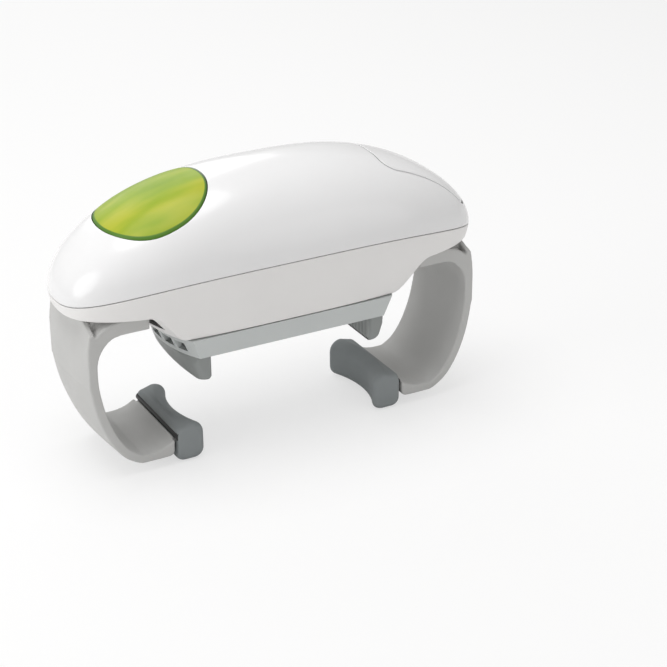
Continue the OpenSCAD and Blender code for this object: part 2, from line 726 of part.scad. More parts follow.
function side_of(line, off) = [for (i = [0:len(line) - 1])
    let (a = line[max(i - 1, 0)], b = line[min(i + 1, len(line) - 1)], d = (b - a) / norm(b - a))
    line[i] + off * [-d[1], d[0]]];

module arm_profile() {
    line = curve(strap_line, 4);
    rest = side_of(line, arm_t / 2);
    back = side_of(line, -arm_t / 2);
    polygon(concat(rest, [for (i = [len(back) - 1:-1:0]) back[i]]));
}

// Turns an outline drawn in (x, z) into a plate across Y
module across(y0, y1) {
    translate([0, y1, 0]) rotate([90, 0, 0]) linear_extrude(y1 - y0) children();
}

module arm() {
    shoulder_top = end_under_z - 2 * gap;
    corner_z = shoulder_top - 7.4;
    skin_t = 2;
    skin_lean = 1.8;                        // how far the skin's top leans in under the body
    skin_top_x = -arm_reach + skin_lean;
    web_y = 15;
    bar_d = 4.6;
    color("lightgray") difference() {
        union() {
            across(-arm_w / 2, arm_w / 2) arm_profile();
            // outer skin that runs on up to the body, and the block that backs it
            across(-arm_w / 2, arm_w / 2) polygon([
                [-arm_reach, strap_z(0.68)], [-arm_reach + 0.3, strap_z(0.88)],
                [skin_top_x, shoulder_top], [skin_top_x + skin_t, shoulder_top],
                [-arm_reach + skin_t + 1.4, strap_z(0.72)]]);
            across(-web_y, web_y) polygon([
                [-arm_reach + 1.4, strap_z(0.82)], [skin_top_x + 1, shoulder_top],
                [-arm_reach + 15, shoulder_top], [-arm_reach + 15, strap_z(1)],
                [-arm_reach + 8, strap_z(0.96)], [-arm_reach + 4, strap_z(0.86)]]);
            // rack bar with its teeth towards the pinion on the axis
            translate([0, arm_pitch_r, rack_z + gap])
                rack(rack_m, -teeth_over(arm_close + 1), teeth_over(arm_open), -plate_x - 1,
                    arm_open + 4, bar_d, arm_t - gap);
            // foot and knuckle that the pad swivels on
            across(-knuckle_w / 2, knuckle_w / 2) {
                translate([-pin_x, pin_z]) circle(knuckle_r);
                polygon([[-pin_x - 0.4, pin_z - knuckle_r + 0.4], [-pin_x - knuckle_r + 0.05, pin_z],
                    [-strap_end - 6, foot_z + 1], [-strap_end, foot_z + 0.6]]);
            }
        }
        // the skin's corners are cut slanting, to clear the narrow end of the body
        for (s = [-1, 1]) translate([-arm_reach - 1, 0, 0]) rotate([90, 0, 90])
            linear_extrude(skin_t + 5) polygon([[s * (arm_w / 2 + 1), corner_z - 1],
                [s * (arm_w / 2 + 1), shoulder_top + 1],
                [s * (arm_w / 2 + corner_z - shoulder_top - 1), shoulder_top + 1]]);
        translate([-pin_x, 0, pin_z]) rotate([90, 0, 0])
            cylinder(r = pad_pin_r + shaft_gap, h = arm_w, center = true);
    }
}
knuckle_r = 2.9;
knuckle_w = 37;
ear_t = 2.6;

module left_arm() {
    arm();
}

module right_arm() {
    rotate(180) arm();
}

// Rubber pad: a block with two lobes, a round hollow, and an ear at each end for its pin
module pad() {
    back_x = pin_x + 1.4;
    front_x = grip_d / 2 - 2;
    color("slategray") difference() {
        across(-pad_w / 2, pad_w / 2) polygon([
            [-back_x, 1], [-back_x + 0.3, 0.3], [-back_x + 1, 0], [-front_x - 3.4, 0],
            [-front_x - 1.2, 1], [-front_x, 3.6], [-front_x, pad_h - 4.4], [-front_x - 1, pad_h - 2],
            [-front_x - 3.2, pad_h - 0.4], [-front_x - 6, pad_h], [-back_x + 2, pad_h - 0.8],
            [-back_x + 0.6, pad_h - 1.6], [-back_x, pad_h - 3]]);
        translate([0, 0, -1]) cylinder(r = grip_d / 2 + 3.4, h = pad_h + 2, $fn = 96);
        // the strap's knuckle turns in this groove
        across(-knuckle_w / 2 - gap, knuckle_w / 2 + gap) {
            translate([-pin_x, pin_z]) circle(knuckle_r + 0.5);
            polygon([[-pin_x - 8, pin_z + 1.6], [-pin_x, pin_z + 1.6], [-pin_x, pin_z - 5.2],
                [-pin_x - 8, pin_z - 8.4]]);
        }
        translate([-pin_x, 0, pin_z]) rotate([90, 0, 0])
            cylinder(r = pad_pin_r, h = pad_w + 1, center = true);
    }
}

module left_pad() {
    pad();
}

module right_pad() {
    rotate(180) pad();
}

module pad_pin() {
    color("black") translate([-pin_x, 0, pin_z]) rotate([90, 0, 0])
        cylinder(r = pad_pin_r, h = pad_w - 0.6, center = true);
}

module left_pad_pin() {
    pad_pin();
}

module right_pad_pin() {
    rotate(180) pad_pin();
}

module arm_pinion() {
    hub_low = deck_top + gap;
    color("ivory") difference() {
        union() {
            translate([0, 0, rack_z + gap])
                gear(rack_m, arm_pinion_teeth, arm_t - gap, 90 + 180 / arm_pinion_teeth);
            translate([0, 0, hub_low]) cylinder(r = sleeve_r + 1.6, h = chassis_z - gap - hub_low);
        }
        translate([0, 0, hub_low - e]) cylinder(r = sleeve_r + shaft_gap, h = lower_h);
    }
}

// ---------------------------------------------------------------- carriage and jaws
carriage_wall = 2.2;
plate_t = 2;
jaw_rack_z = lid_rest_z + plate_t + 0.2 + gap;
jaw_rack_h = 3.8;
channel_top = jaw_rack_z + jaw_rack_h + gap;
jaw_bar_d = 4.6;                            // width of the jaws' bars behind their teeth
jaw_bar_y = jaw_pitch_r + ded(rack_m) + jaw_bar_d;
channel_w = 2 * (jaw_bar_y + gap);
neck_w = 9.6;
neck_from = 37.8;
neck_to = 42.6;
jaw_open = 3;
jaw_close = 20;
end_lean = 3.4;                             // how far the turned ends lean in down to the underside
side_lean = 0.9;                            // and the flats
carriage_low_r = carriage_r - end_lean;
function end_r(z) = carriage_low_r + end_lean * (z - lid_rest_z) / carriage_h;
function side_y(z) = carriage_w / 2 - side_lean + side_lean * (z - lid_rest_z) / carriage_h;

// Ends turned about the axis, leaning in downwards; sides flat
module carriage_form(inset, z0, z1) {
    intersection() {
        rotate_extrude($fn = 96)
            polygon([[0, z0], [end_r(z0) - inset, z0], [end_r(z1) - inset, z1], [0, z1]]);
        rotate([90, 0, 90]) linear_extrude(2 * carriage_r, center = true)
            polygon([[inset - side_y(z0), z0], [side_y(z0) - inset, z0],
                [side_y(z1) - inset, z1], [inset - side_y(z1), z1]]);
    }
}

module carriage() {
    window_h = 4;
    windows = [[-20.5, 5.5], [-13.2, 6.6], [-4, 8], [6.6, 6.6], [15, 5.5]];
    color("lightgray") difference() {
        union() {
            difference() {
                carriage_form(0, lid_rest_z, carriage_top);
                carriage_form(carriage_wall, lid_rest_z - e, channel_top);
            }
            // side ledges that the bottom plate screws to
            for (s = [-1, 1]) translate([-30, s > 0 ? channel_w / 2 : -carriage_w / 2 + 1.6,
                lid_rest_z + plate_t]) cube([60, carriage_w / 2 - 1.6 - channel_w / 2,
                channel_top - lid_rest_z - plate_t + e]);
        }
        // windows in the turned ends, where the racks run out
        for (w = windows, s = [-1, 1])
            translate([s * (carriage_r - 4) - 10, s > 0 ? w[0] : -w[0] - w[1], channel_top - window_h - 0.4])
                cube([20, w[1], window_h]);
        translate([0, 0, channel_top - e]) cylinder(r = spindle_r, h = carriage_h);
        for (sx = [-1, 1], sy = [-1, 1])
            translate([sx * plate_screw_at[0], sy * plate_screw_at[1], lid_rest_z + plate_t])
                cylinder(r = plate_screw_r, h = 4);
    }
}
plate_screw_at = [22, 18.4];
plate_screw_r = 0.9;
plate_head_r = 2;
pinion_screw_r = 1.2;

module carriage_plate() {
    color("darkgray") difference() {
        carriage_form(carriage_wall + 0.15, lid_rest_z, lid_rest_z + plate_t);
        for (s = [0, 180]) rotate(s)
            translate([neck_from - jaw_close - gap, -neck_w / 2 - gap, lid_rest_z - e])
                cube([40, neck_w + 2 * gap, plate_t + 2 * e]);
        translate([0, 0, lid_rest_z - e]) cylinder(r = 5, h = plate_t + 2 * e);
        for (sx = [-1, 1], sy = [-1, 1])
            translate([sx * plate_screw_at[0], sy * plate_screw_at[1], lid_rest_z - e]) {
                cylinder(r = plate_screw_r + 0.3, h = plate_t + 2 * e);
                cylinder(r = plate_head_r + 0.1, h = 1.2 + e);
            }
    }
}

module plate_screws() {
    color("silver") for (sx = [-1, 1], sy = [-1, 1])
        translate([sx * plate_screw_at[0], sy * plate_screw_at[1], lid_rest_z + 0.1]) {
            cylinder(r = plate_head_r, h = 1.1);
            cylinder(r = plate_screw_r, h = 5);
        }
}

module jaw_pinion() {
    color("ivory") translate([0, 0, jaw_rack_z]) difference() {
        gear(rack_m, jaw_pinion_teeth, jaw_rack_h, 90 + 180 / jaw_pinion_teeth);
        translate([0, 0, -e]) cylinder(r = spindle_r + shaft_gap, h = jaw_rack_h + 2 * e);
    }
}

module pinion_screw() {
    color("silver") translate([0, 0, jaw_rack_z - 1.2]) {
        cylinder(r = 4.4, h = 1);
        cylinder(r = pinion_screw_r, h = 7);
    }
}

// Jaw on the -X side: a fin under the carriage, its neck and its rack
module jaw() {
    fin_top = lid_rest_z - gap;
    fin_z = lid_rest_z - jaw_drop;
    face_x = lid_d / 2;
    fin_x = face_x + 7.3;
    top_r = carriage_low_r - 0.4;
    serrations = 15;
    color("gray") {
        difference() {
            intersection() {
                // drawn to the carriage's round at its corners, straight between them
                translate([0, 0, fin_z]) cylinder(r = top_r, h = fin_top - fin_z, $fn = 96);
                across(-jaw_w / 2, jaw_w / 2) polygon([[-face_x, fin_z + 1.2], [-face_x - 1, fin_z + 0.3],
                    [-face_x - 2, fin_z], [-fin_x + 1.6, fin_z], [-fin_x + 0.5, fin_z + 0.4],
                    [-fin_x, fin_z + 1.4], [-fin_x - 2.6, fin_top - 3], [-top_r, fin_top],
                    [-face_x, fin_top]]);
            }
            for (i = [0:serrations - 1])
                translate([-face_x, (i - (serrations - 1) / 2) * 2.8, fin_z - 1]) rotate(45)
                    translate([-0.5, -0.5, 0]) cube([1, 1, jaw_drop - 1.5]);
        }
        translate([-neck_to, -neck_w / 2, fin_top - e])
            cube([neck_to - neck_from, neck_w, jaw_rack_z + jaw_rack_h - fin_top + e]);
        translate([0, jaw_pitch_r, jaw_rack_z])
            rack(rack_m, -teeth_over(jaw_close + 1), teeth_over(jaw_open), -neck_to, jaw_open + 4,
                jaw_bar_d, jaw_rack_h);
        translate([-neck_to, -neck_w / 2, jaw_rack_z])
            cube([neck_to - neck_from, neck_w / 2 + jaw_bar_y, jaw_rack_h]);
    }
}

module left_jaw() {
    jaw();
}

module right_jaw() {
    rotate(180) jaw();
}

top_shell();
lower_shell();
button();
button_spring();
switch();
switch_plunger();
circuit_board();
board_screws();
chassis();
chassis_screws();
motor();
motor_shaft();
motor_pinion();
first_gear();
second_gear();
gear_axles();
gear_bridge();
output_gear();
spindle();
spindle_clip();
shell_screws();
battery_tray();
battery_cells();
battery_contacts();
battery_cover();
arm_pinion();
left_arm();
right_arm();
left_pad();
right_pad();
left_pad_pin();
right_pad_pin();
carriage();
carriage_plate();
plate_screws();
jaw_pinion();
pinion_screw();
left_jaw();
right_jaw();
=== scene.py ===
import math
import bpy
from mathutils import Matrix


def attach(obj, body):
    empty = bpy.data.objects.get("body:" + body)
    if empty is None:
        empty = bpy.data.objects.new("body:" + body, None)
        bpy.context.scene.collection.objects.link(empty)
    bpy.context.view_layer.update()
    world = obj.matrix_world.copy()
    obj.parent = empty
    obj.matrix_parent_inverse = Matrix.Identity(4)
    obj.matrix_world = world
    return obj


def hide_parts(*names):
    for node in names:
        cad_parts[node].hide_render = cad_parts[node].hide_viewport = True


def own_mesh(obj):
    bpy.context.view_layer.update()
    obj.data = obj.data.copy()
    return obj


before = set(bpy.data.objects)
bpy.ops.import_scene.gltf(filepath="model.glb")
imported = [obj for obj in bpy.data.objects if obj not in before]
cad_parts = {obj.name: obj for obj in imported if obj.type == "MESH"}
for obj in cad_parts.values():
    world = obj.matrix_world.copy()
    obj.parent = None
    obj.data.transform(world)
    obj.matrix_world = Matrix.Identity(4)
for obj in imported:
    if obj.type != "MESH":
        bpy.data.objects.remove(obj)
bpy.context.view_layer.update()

from types import SimpleNamespace

import bmesh
import bpy
from mathutils import Matrix, Vector


# ---- Top shell ------------------------------------------------------------------------------
# The crowned upper half of the body: one moulding in glossy white ABS, 2.2 mm thick, that sits
# on the lower shell along a sunk seam and is pulled down by four screws from below. It has an
# oval opening for the button and a rounded rectangular one for the battery cover.
MM = 0.001
HALF_LENGTH, HALF_WIDTH, SQUARENESS = 93, 35, 2.7
SEAM_MIDDLE, SEAM_DROP, CROWN = 85, 10, 33
WALL = 2.2
AROUND = 240                    # stations round the outline of the shells
SHELL_ROUND = 0.35              # radius of the shells' edges along the seam


def signed_power(value, power):
    return math.copysign(abs(value) ** power, value)


def oval(turn, a, b, power=SQUARENESS):
    """Point of a squared oval of half-sizes a and b."""
    x, y = signed_power(math.cos(turn), 2 / power), signed_power(math.sin(turn), 2 / power)
    return a * x, b * y


def even_turns(count, a, b, power):
    """Turns at which the points of an oval lie evenly along it."""
    fine = 40 * count
    turns = [2 * math.pi * i / fine for i in range(fine + 1)]
    points = [oval(t, a, b, power) for t in turns]
    run = [0]
    for p, q in zip(points, points[1:]):
        run.append(run[-1] + math.dist(p, q))
    found, k = [], 0
    for i in range(count):
        while run[k] < run[-1] * i / count:
            k += 1
        found.append(turns[k])
    return found


def seam_height(x):
    """Height of the seam between the shells, which falls towards both ends."""
    return SEAM_MIDDLE - SEAM_DROP * min(abs(x) / HALF_LENGTH, 1) ** 3


def crown_height(share, inset=0.0):
    """Rise of the crown over the seam, at a share of the way out to the outline."""
    return (CROWN - inset) * max(1 - min(share, 1) ** 2, 0) ** (1 / 2.1)


def top_height(x, y, inset=0.0):
    """Height of the top shell's outer face over a place, or of its inner face."""
    share = ((abs(x) / (HALF_LENGTH - inset)) ** SQUARENESS
             + (abs(y) / (HALF_WIDTH - inset)) ** SQUARENESS) ** (1 / SQUARENESS)
    return seam_height(x) + crown_height(share, inset)


def add(name, data):
    """A new object in the scene, for a mesh, a lamp or a camera."""
    piece = bpy.data.objects.new(name, data)
    bpy.context.scene.collection.objects.link(piece)
    return piece


def solid(name, points, faces):
    """A new mesh object from points in millimetres."""
    mesh = bpy.data.meshes.new(name)
    mesh.from_pydata([[c * MM for c in p] for p in points], [], faces)
    work = bmesh.new()
    work.from_mesh(mesh)
    bmesh.ops.recalc_face_normals(work, faces=work.faces)
    work.to_mesh(mesh)
    work.free()
    return add(name, mesh)


def loft(name, rings, first_tip, last_tip):
    """A closed form through rings of equal count, with a fan to a tip at each end."""
    n, m = len(rings[0]), len(rings)
    points = [p for ring in rings for p in ring] + [first_tip, last_tip]
    faces = [(k * n + i, k * n + (i + 1) % n, (k + 1) * n + (i + 1) % n, (k + 1) * n + i)
             for k in range(m - 1) for i in range(n)]
    faces += [(n * m, (i + 1) % n, i) for i in range(n)]
    faces += [(n * m + 1, (m - 1) * n + i, (m - 1) * n + (i + 1) % n) for i in range(n)]
    return solid(name, points, faces)


def joined(name, parts):
    """One object that takes the place of several, whose meshes it holds."""
    merged = bmesh.new()
    for part in parts:
        merged.from_mesh(part.data)
    mesh = bpy.data.meshes.new(name)
    merged.to_mesh(mesh)
    merged.free()
    for part in parts:
        bpy.data.objects.remove(part)
    return add(name, mesh)


def keep(piece):
    """Makes a piece's modifiers its own mesh."""
    bpy.context.view_layer.update()
    shaped = bpy.data.meshes.new_from_object(
        piece.evaluated_get(bpy.context.evaluated_depsgraph_get()))
    piece.modifiers.clear()
    piece.data = shaped


def carve(piece, tools, way="DIFFERENCE"):
    """Cuts tools that stand clear of each other out of a piece, or joins them on, for good."""
    tool = joined("tool", tools)
    modifier = piece.modifiers.new("carve", "BOOLEAN")
    modifier.object = tool
    modifier.operation = way
    modifier.solver = "EXACT"
    keep(piece)
    bpy.data.objects.remove(tool)


def smooth(piece, angle=32):
    """Shades a piece smooth, apart from edges sharper than the angle in degrees."""
    piece.data.shade_smooth()
    piece.data.set_sharp_from_angle(angle=math.radians(angle))
    weighted = piece.modifiers.new("normals", "WEIGHTED_NORMAL")
    weighted.keep_sharp = True


def quarter(steps):
    """Turns from zero to a right angle."""
    return [math.pi / 2 * k / steps for k in range(steps + 1)]


def shell_ring(inset, share=1.0, lift=0.0, wall=0.0):
    """Ring of the crown at a share of its outline; wall is the depth below the outer face."""
    ring = []
    for t in shell_turns:
        x, y = oval(t, share * (HALF_LENGTH - inset), share * (HALF_WIDTH - inset))
        ring.append((x, y, seam_height(x) + crown_height(share, wall) + lift))
    return ring


def rounded_corner(radius, steps=4):
    """Steps (inset, lift) round a quarter circle, from the wall down to the edge."""
    return [(radius * (1 - math.cos(a)), radius * (1 - math.sin(a))) for a in quarter(steps)]


shell_turns = even_turns(AROUND, HALF_LENGTH, HALF_WIDTH, SQUARENESS)
shares = [math.sin(a) for a in quarter(64)[1:-1]]
rings = [shell_ring(0, s) for s in shares]
rings += [shell_ring(i, 1, l) for i, l in rounded_corner(SHELL_ROUND)]
rings += [shell_ring(WALL, s, 0, WALL) for s in reversed(shares)]
top_shell = loft("top_shell_skin", rings, (0, 0, top_height(0, 0)), (0, 0, top_height(0, 0, WALL)))

BUTTON_AT, BUTTON_A, BUTTON_B, BUTTON_SQUARENESS = -50.4, 22, 23.6, 2.25
COVER_AT, COVER_LENGTH, COVER_WIDTH, COVER_CORNER = 67, 40, 35, 6
COVER_STEP = 1.2                # length of the steps along the cover's straight sides
OPENING_GAP, OPENING_ROUND = 0.35, 0.3
CUTTER_RISE, CUTTER_FOOT = 7, 60    # the cutters stand clear of the crown's curve at both ends
COLLAR_WALL, COLLAR_DEPTH = 1.2, 6.5
button_turns = even_turns(160, BUTTON_A, BUTTON_B, BUTTON_SQUARENESS)


def button_ring(grow, lift, share=1.0, flat=None):
    """Ring along the button's outline that follows the crown, or lies flat at a height."""
    ring = []
    for t in button_turns:
        x, y = oval(t, BUTTON_A * share + grow, BUTTON_B * share + grow, BUTTON_SQUARENESS)
        x += BUTTON_AT
        ring.append((x, y, flat if flat is not None else top_height(x, y) + lift))
    return ring


def cover_outline(grow, corner_steps=10):
    """Rounded rectangle of the battery cover, as points round its middle."""
    points = []
    for corner, (sx, sy) in enumerate([(1, 1), (-1, 1), (-1, -1), (1, -1)]):
        cx = sx * (COVER_LENGTH / 2 - COVER_CORNER)
        cy = sy * (COVER_WIDTH / 2 - COVER_CORNER)
        for turn in quarter(corner_steps):
            a = turn + math.pi / 2 * corner
            points.append((cx + (COVER_CORNER + grow) * math.cos(a),
                           cy + (COVER_CORNER + grow) * math.sin(a)))
    even = []
    for p, q in zip(points, points[1:] + points[:1]):
        parts = max(1, round(math.dist(p, q) / COVER_STEP))
        even += [(p[0] + (q[0] - p[0]) * k / parts, p[1] + (q[1] - p[1]) * k / parts)
                 for k in range(parts)]
    return even


def cover_ring(grow, lift, share=1.0, flat=None, wall=0.0):
    """Ring along the cover's outline that follows the crown, or lies flat at a height."""
    return [(COVER_AT + share * x, share * y,
             flat if flat is not None
             else top_height(COVER_AT + share * x, share * y, wall) + lift)
            for x, y in cover_outline(grow)]


# each opening's cutter flares out at the surface, which leaves a rounded edge round the opening
flare = [(OPENING_ROUND * (1 - math.sin(a)), -OPENING_ROUND * (1 - math.cos(a)))
         for a in quarter(5)]
cutters = []
for ring, middle in ((button_ring, BUTTON_AT), (cover_ring, COVER_AT)):
    rings = [ring(OPENING_GAP + OPENING_ROUND, lift) for lift in (CUTTER_RISE, 0.02)]
    rings += [ring(OPENING_GAP + g, d) for g, d in flare]
    rings += [ring(OPENING_GAP, 0, 1, flat=CUTTER_FOOT)]
    cutters.append(loft("opening", rings, (middle, 0, top_height(middle, 0) + CUTTER_RISE),
                        (middle, 0, CUTTER_FOOT)))
carve(top_shell, cutters)
# a collar under the button's opening guides its skirt
collar = [button_ring(OPENING_GAP + wall, lift) for wall, lift in (
    (COLLAR_WALL, -WALL / 2), (COLLAR_WALL, -COLLAR_DEPTH), (0, -COLLAR_DEPTH), (0, -WALL / 2))]
n, m = len(button_turns), len(collar)
guide = solid("button_collar", [p for ring in collar for p in ring],
              [(k * n + i, k * n + (i + 1) % n, (k + 1) % m * n + (i + 1) % n, (k + 1) % m * n + i)
               for k in range(m) for i in range(n)])
carve(top_shell, [guide], "UNION")
smooth(top_shell)


def plastic(name, colour, roughness, coat=0.0, coat_roughness=0.1, specular=0.5):
    """Starts a moulded plastic and returns its material, its shader and a maker of more nodes."""
    material = bpy.data.materials.new(name)
    material.use_nodes = True
    nodes, links = material.node_tree.nodes, material.node_tree.links
    shader = nodes["Principled BSDF"]
    shader.inputs["Base Color"].default_value = (*colour, 1)
    shader.inputs["Roughness"].default_value = roughness
    shader.inputs["Specular IOR Level"].default_value = specular
    shader.inputs["Coat Weight"].default_value = coat
    shader.inputs["Coat Roughness"].default_value = coat_roughness
    place = nodes.new("ShaderNodeTexCoord").outputs["Object"]

    def noise(scale, detail=2.0, stretch=(1, 1, 1)):
        mapping = nodes.new("ShaderNodeMapping")
        mapping.inputs["Scale"].default_value = stretch
        links.new(place, mapping.inputs["Vector"])
        texture = nodes.new("ShaderNodeTexNoise")
        texture.inputs["Scale"].default_value = scale
        texture.inputs["Detail"].default_value = detail
        links.new(mapping.outputs["Vector"], texture.inputs["Vector"])
        return texture.outputs["Fac"]

    def ramp(source, stops):
        """Colours or greys between stops (position, colour or value)."""
        node = nodes.new("ShaderNodeValToRGB")
        bar = node.color_ramp
        while len(bar.elements) < len(stops):
            bar.elements.new(0.5)
        for element, (position, shade) in zip(bar.elements, stops):
            element.position = position
            element.color = (*shade, 1) if hasattr(shade, "__len__") else (shade,) * 3 + (1,)
        links.new(source, node.inputs["Fac"])
        return node.outputs["Color"]

    def bump(height, depth):
        """Relief of the given depth in millimetres."""
        node = nodes.new("ShaderNodeBump")
        node.inputs["Strength"].default_value = 1
        node.inputs["Distance"].default_value = depth * MM
        links.new(height, node.inputs["Height"])
        return node.outputs["Normal"]

    def calc(operation, *terms):
        """One step of arithmetic on sockets and numbers."""
        node = nodes.new("ShaderNodeMath")
        node.operation = operation
        for socket, term in zip(node.inputs, terms):
            if hasattr(term, "node"):
                links.new(term, socket)
            else:
                socket.default_value = term
        return node.outputs[0]

    def along(axis):
        """The place along one axis, in metres."""
        node = nodes.new("ShaderNodeSeparateXYZ")
        links.new(place, node.inputs[0])
        return node.outputs[axis]

    def join(source, socket):
        links.new(source, shader.inputs[socket])

    make = SimpleNamespace(noise=noise, ramp=ramp, bump=bump, calc=calc, along=along, join=join,
                           nodes=nodes, links=links, place=place)
    return material, shader, make


def shade(colour, factor):
    """A colour made darker or lighter."""
    return tuple(min(c * factor, 1) for c in colour)


def moulding(name, colour, roughness, grain, depth, drift=0.03, **more):
    """Moulded plastic: a faint drift in colour, flow marks in the gloss, and its tool's grain."""
    material, shader, make = plastic(name, colour, roughness, **more)
    flow = make.noise(45, 3)
    make.join(make.ramp(flow, [(0.3, shade(colour, 1 - drift)), (0.7, shade(colour, 1 + drift))]),
              "Base Color")
    make.join(make.ramp(make.noise(140, 4),
                        [(0.3, roughness * 0.88), (0.7, min(roughness * 1.12, 1))]), "Roughness")
    make.join(make.bump(make.noise(grain, 2), depth), "Normal")
    return material


def dress(piece, material):
    """Gives a piece one material."""
    piece.data.materials.clear()
    piece.data.materials.append(material)


gloss_white = moulding("gloss_white_abs", (0.80, 0.80, 0.805), 0.24, 420, 0.004, drift=0.008,
                       coat=0.35, coat_roughness=0.06)
dress(top_shell, gloss_white)
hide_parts("top_shell")
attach(top_shell, "housing")


# ---- Lower shell ----------------------------------------------------------------------------
# The lower half of the body, moulded in satin white ABS. Its walls draw in to a narrow flat deck
# over the carriage; at both ends the underside rises behind a slanting turned wall, and slots in
# that wall let the arms' racks in. Bosses and posts for the screws stand on the deck.
SEAM_GROOVE = 0.25
DECK, END_RISE, FLARE_FROM, FLARE_TO = 56.1, 13.9, 52.7, 68.5
DRAW_IN, SIDE_FALL = 9, 28.9
CREASE_ROUND = 0.9              # radius of the edge between the side and the underside


def side_point(turn, z, inset):
    """Point of the lower shell's side at a height; the side draws in below the seam."""
    x, _ = oval(turn, HALF_LENGTH - inset, HALF_WIDTH - inset)
    d = DRAW_IN * (max(seam_height(x) - z, 0) / SIDE_FALL) ** 1.25
    x, y = oval(turn, HALF_LENGTH - inset - d, HALF_WIDTH - inset - d)
    return Vector((x, y, z))


def eased(value, start, end):
    """Runs from zero at the start to one at the end, level at both."""
    u = min(max((value - start) / (end - start), 0), 1)
    return u * u * (3 - 2 * u)


def under_height(radius, set_in):
    """Height of the underside at a distance from the turning axis."""
    return DECK + set_in + END_RISE * eased(radius + set_in, FLARE_FROM, FLARE_TO)


def meeting(turn, inset):
    """Point where the side meets the underside, at one turn of the outline."""
    low, high = DECK - 1, seam_height(oval(turn, HALF_LENGTH, HALF_WIDTH)[0])
    for _ in range(40):
        z = (low + high) / 2
        p = side_point(turn, z, inset)
        if z > under_height(p.xy.length, inset):
            high = z
        else:
            low = z
    return p


def lower_line(turn, inset, top, corner, side_steps, under_steps):
    """Line of the shell's face from the seam down the side and in under the floor."""
    foot = meeting(turn, inset)
    start = side_point(turn, foot.z + corner, inset)
    inward = -foot.xy.normalized().to_3d()
    reach = foot.xy.length

    def floor(share):
        p = foot + inward * (reach * share)
        return Vector((p.x, p.y, under_height(reach * (1 - share), inset)))

    end = floor(corner / reach)
    line = [side_point(turn, top + (start.z - top) * k / side_steps, inset)
            for k in range(side_steps)]
    line += [start * (1 - s) ** 2 + foot * (2 * s * (1 - s)) + end * s * s
             for s in (k / 5 for k in range(6))]
    first = corner / reach
    line += [floor(first + (1 - first) * k / under_steps) for k in range(1, under_steps)]
    return line


lines = []
for t in shell_turns:
    seam = seam_height(oval(t, HALF_LENGTH, HALF_WIDTH)[0]) - SEAM_GROOVE
    edge = [side_point(t, seam - lift, inset)
            for inset, lift in reversed(rounded_corner(SHELL_ROUND))]
    outer = edge + lower_line(t, 0, seam - SHELL_ROUND, CREASE_ROUND, 22, 60)[1:]
    inner = lower_line(t, WALL, seam, 0.6, 10, 30)
    lines.append(list(reversed(outer)) + inner)
rings = [[line[k] for line in lines] for k in range(len(lines[0]))]
lower_shell = loft("lower_shell_skin", rings, (0, 0, DECK), (0, 0, DECK + WALL))


def peg(x, y, radius, low, high, steps=48):
    """A round upright peg."""
    rings = [[(x + radius * math.cos(2 * math.pi * i / steps),
               y + radius * math.sin(2 * math.pi * i / steps), z) for i in range(steps)]
             for z in (low, high)]
    return loft("peg", rings, (x, y, low), (x, y, high))


def slab(x0, x1, y0, y1, z0, z1):
    """A plain block between two corners."""
    points = [(x, y, z) for x in (x0, x1) for y in (y0, y1) for z in (z0, z1)]
    return solid("slab", points, [(0, 1, 3, 2), (4, 6, 7, 5), (0, 4, 5, 1), (2, 3, 7, 6),
                                  (0, 2, 6, 4), (1, 5, 7, 3)])


screws_at = [(x, y) for x in (-32, 32) for y in (-21.5, 21.5)]
posts_at = [(x, y) for x in (-14, 14) for y in (-22.5, 22.5)]
POST, POST_TOP, HUB, HUB_TOP = 3.0, 70.4, 5.5, 72.7
BOSS, BOSS_TOP = 3.6, 63.7      # the posts of the screws are thicker round the screws' heads
HEAD_HOLE, HEAD_SEAT, SCREW_HOLE, SPINDLE_HOLE = 2.6, 61.7, 1.5, 3.05
SLOT_HALF, SLOT_LOW, SLOT_TOP = 21.7, 61.6, 69.7
carve(lower_shell, [peg(x, y, POST, DECK + 1, POST_TOP) for x, y in screws_at + posts_at]
      + [peg(0, 0, HUB, DECK + 1, HUB_TOP)], "UNION")
carve(lower_shell, [peg(x, y, BOSS, DECK + 1.1, BOSS_TOP) for x, y in screws_at], "UNION")
carve(lower_shell, [peg(x, y, SCREW_HOLE, DECK - 2, 75) for x, y in screws_at]
      + [peg(0, 0, SPINDLE_HOLE, DECK - 1, 80)]
      + [slab(x, x + 60, -SLOT_HALF, SLOT_HALF, SLOT_LOW, SLOT_TOP) for x in (-110, 50)])
carve(lower_shell, [peg(x, y, HEAD_HOLE, DECK - 1, HEAD_SEAT) for x, y in screws_at])
smooth(lower_shell)
satin_white = moulding("satin_white_abs", (0.80, 0.79, 0.78), 0.42, 2600, 0.006, drift=0.012)
dress(lower_shell, satin_white)
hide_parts("lower_shell")
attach(lower_shell, "housing")


# ---- Button ---------------------------------------------------------------------------------
# The large oval push button: a lime cap of glossy acrylic with a thin deep green rim round it,
# which is painted shade. Its skirt slides in the collar under the opening, a stem presses
# the switch, and a spring lifts it back.
RIM_ROUND, CAP_PROUD, CAP_T = 0.8, 0.5, 1.8
RIM_SHARE, RIM_LIFT, EDGE_LIFT = 0.945, 0.06, 0.04    # the rim is nearly level with the shell
SKIRT_T, SKIRT_DEPTH = 1.4, 4.6
STEM_AT, STEM, STEM_FOOT = -48, 2.2, 106.9
SEAT_AT, SEAT, SEAT_FOOT = -56.5, 4, 105
cap = [button_ring(0, CAP_PROUD * (1 - (k / 24) ** 4), k / 24) for k in range(1, 23)]
cap += [button_ring(0, RIM_LIFT, RIM_SHARE)]
cap += [button_ring(-RIM_ROUND * (1 - math.sin(a)), EDGE_LIFT - RIM_ROUND * (1 - math.cos(a)))
        for a in quarter(6)]
cap += [button_ring(0, -SKIRT_DEPTH), button_ring(-SKIRT_T, -SKIRT_DEPTH)]
cap += [button_ring(-SKIRT_T, -CAP_T, k / 8) for k in range(8, 0, -1)]
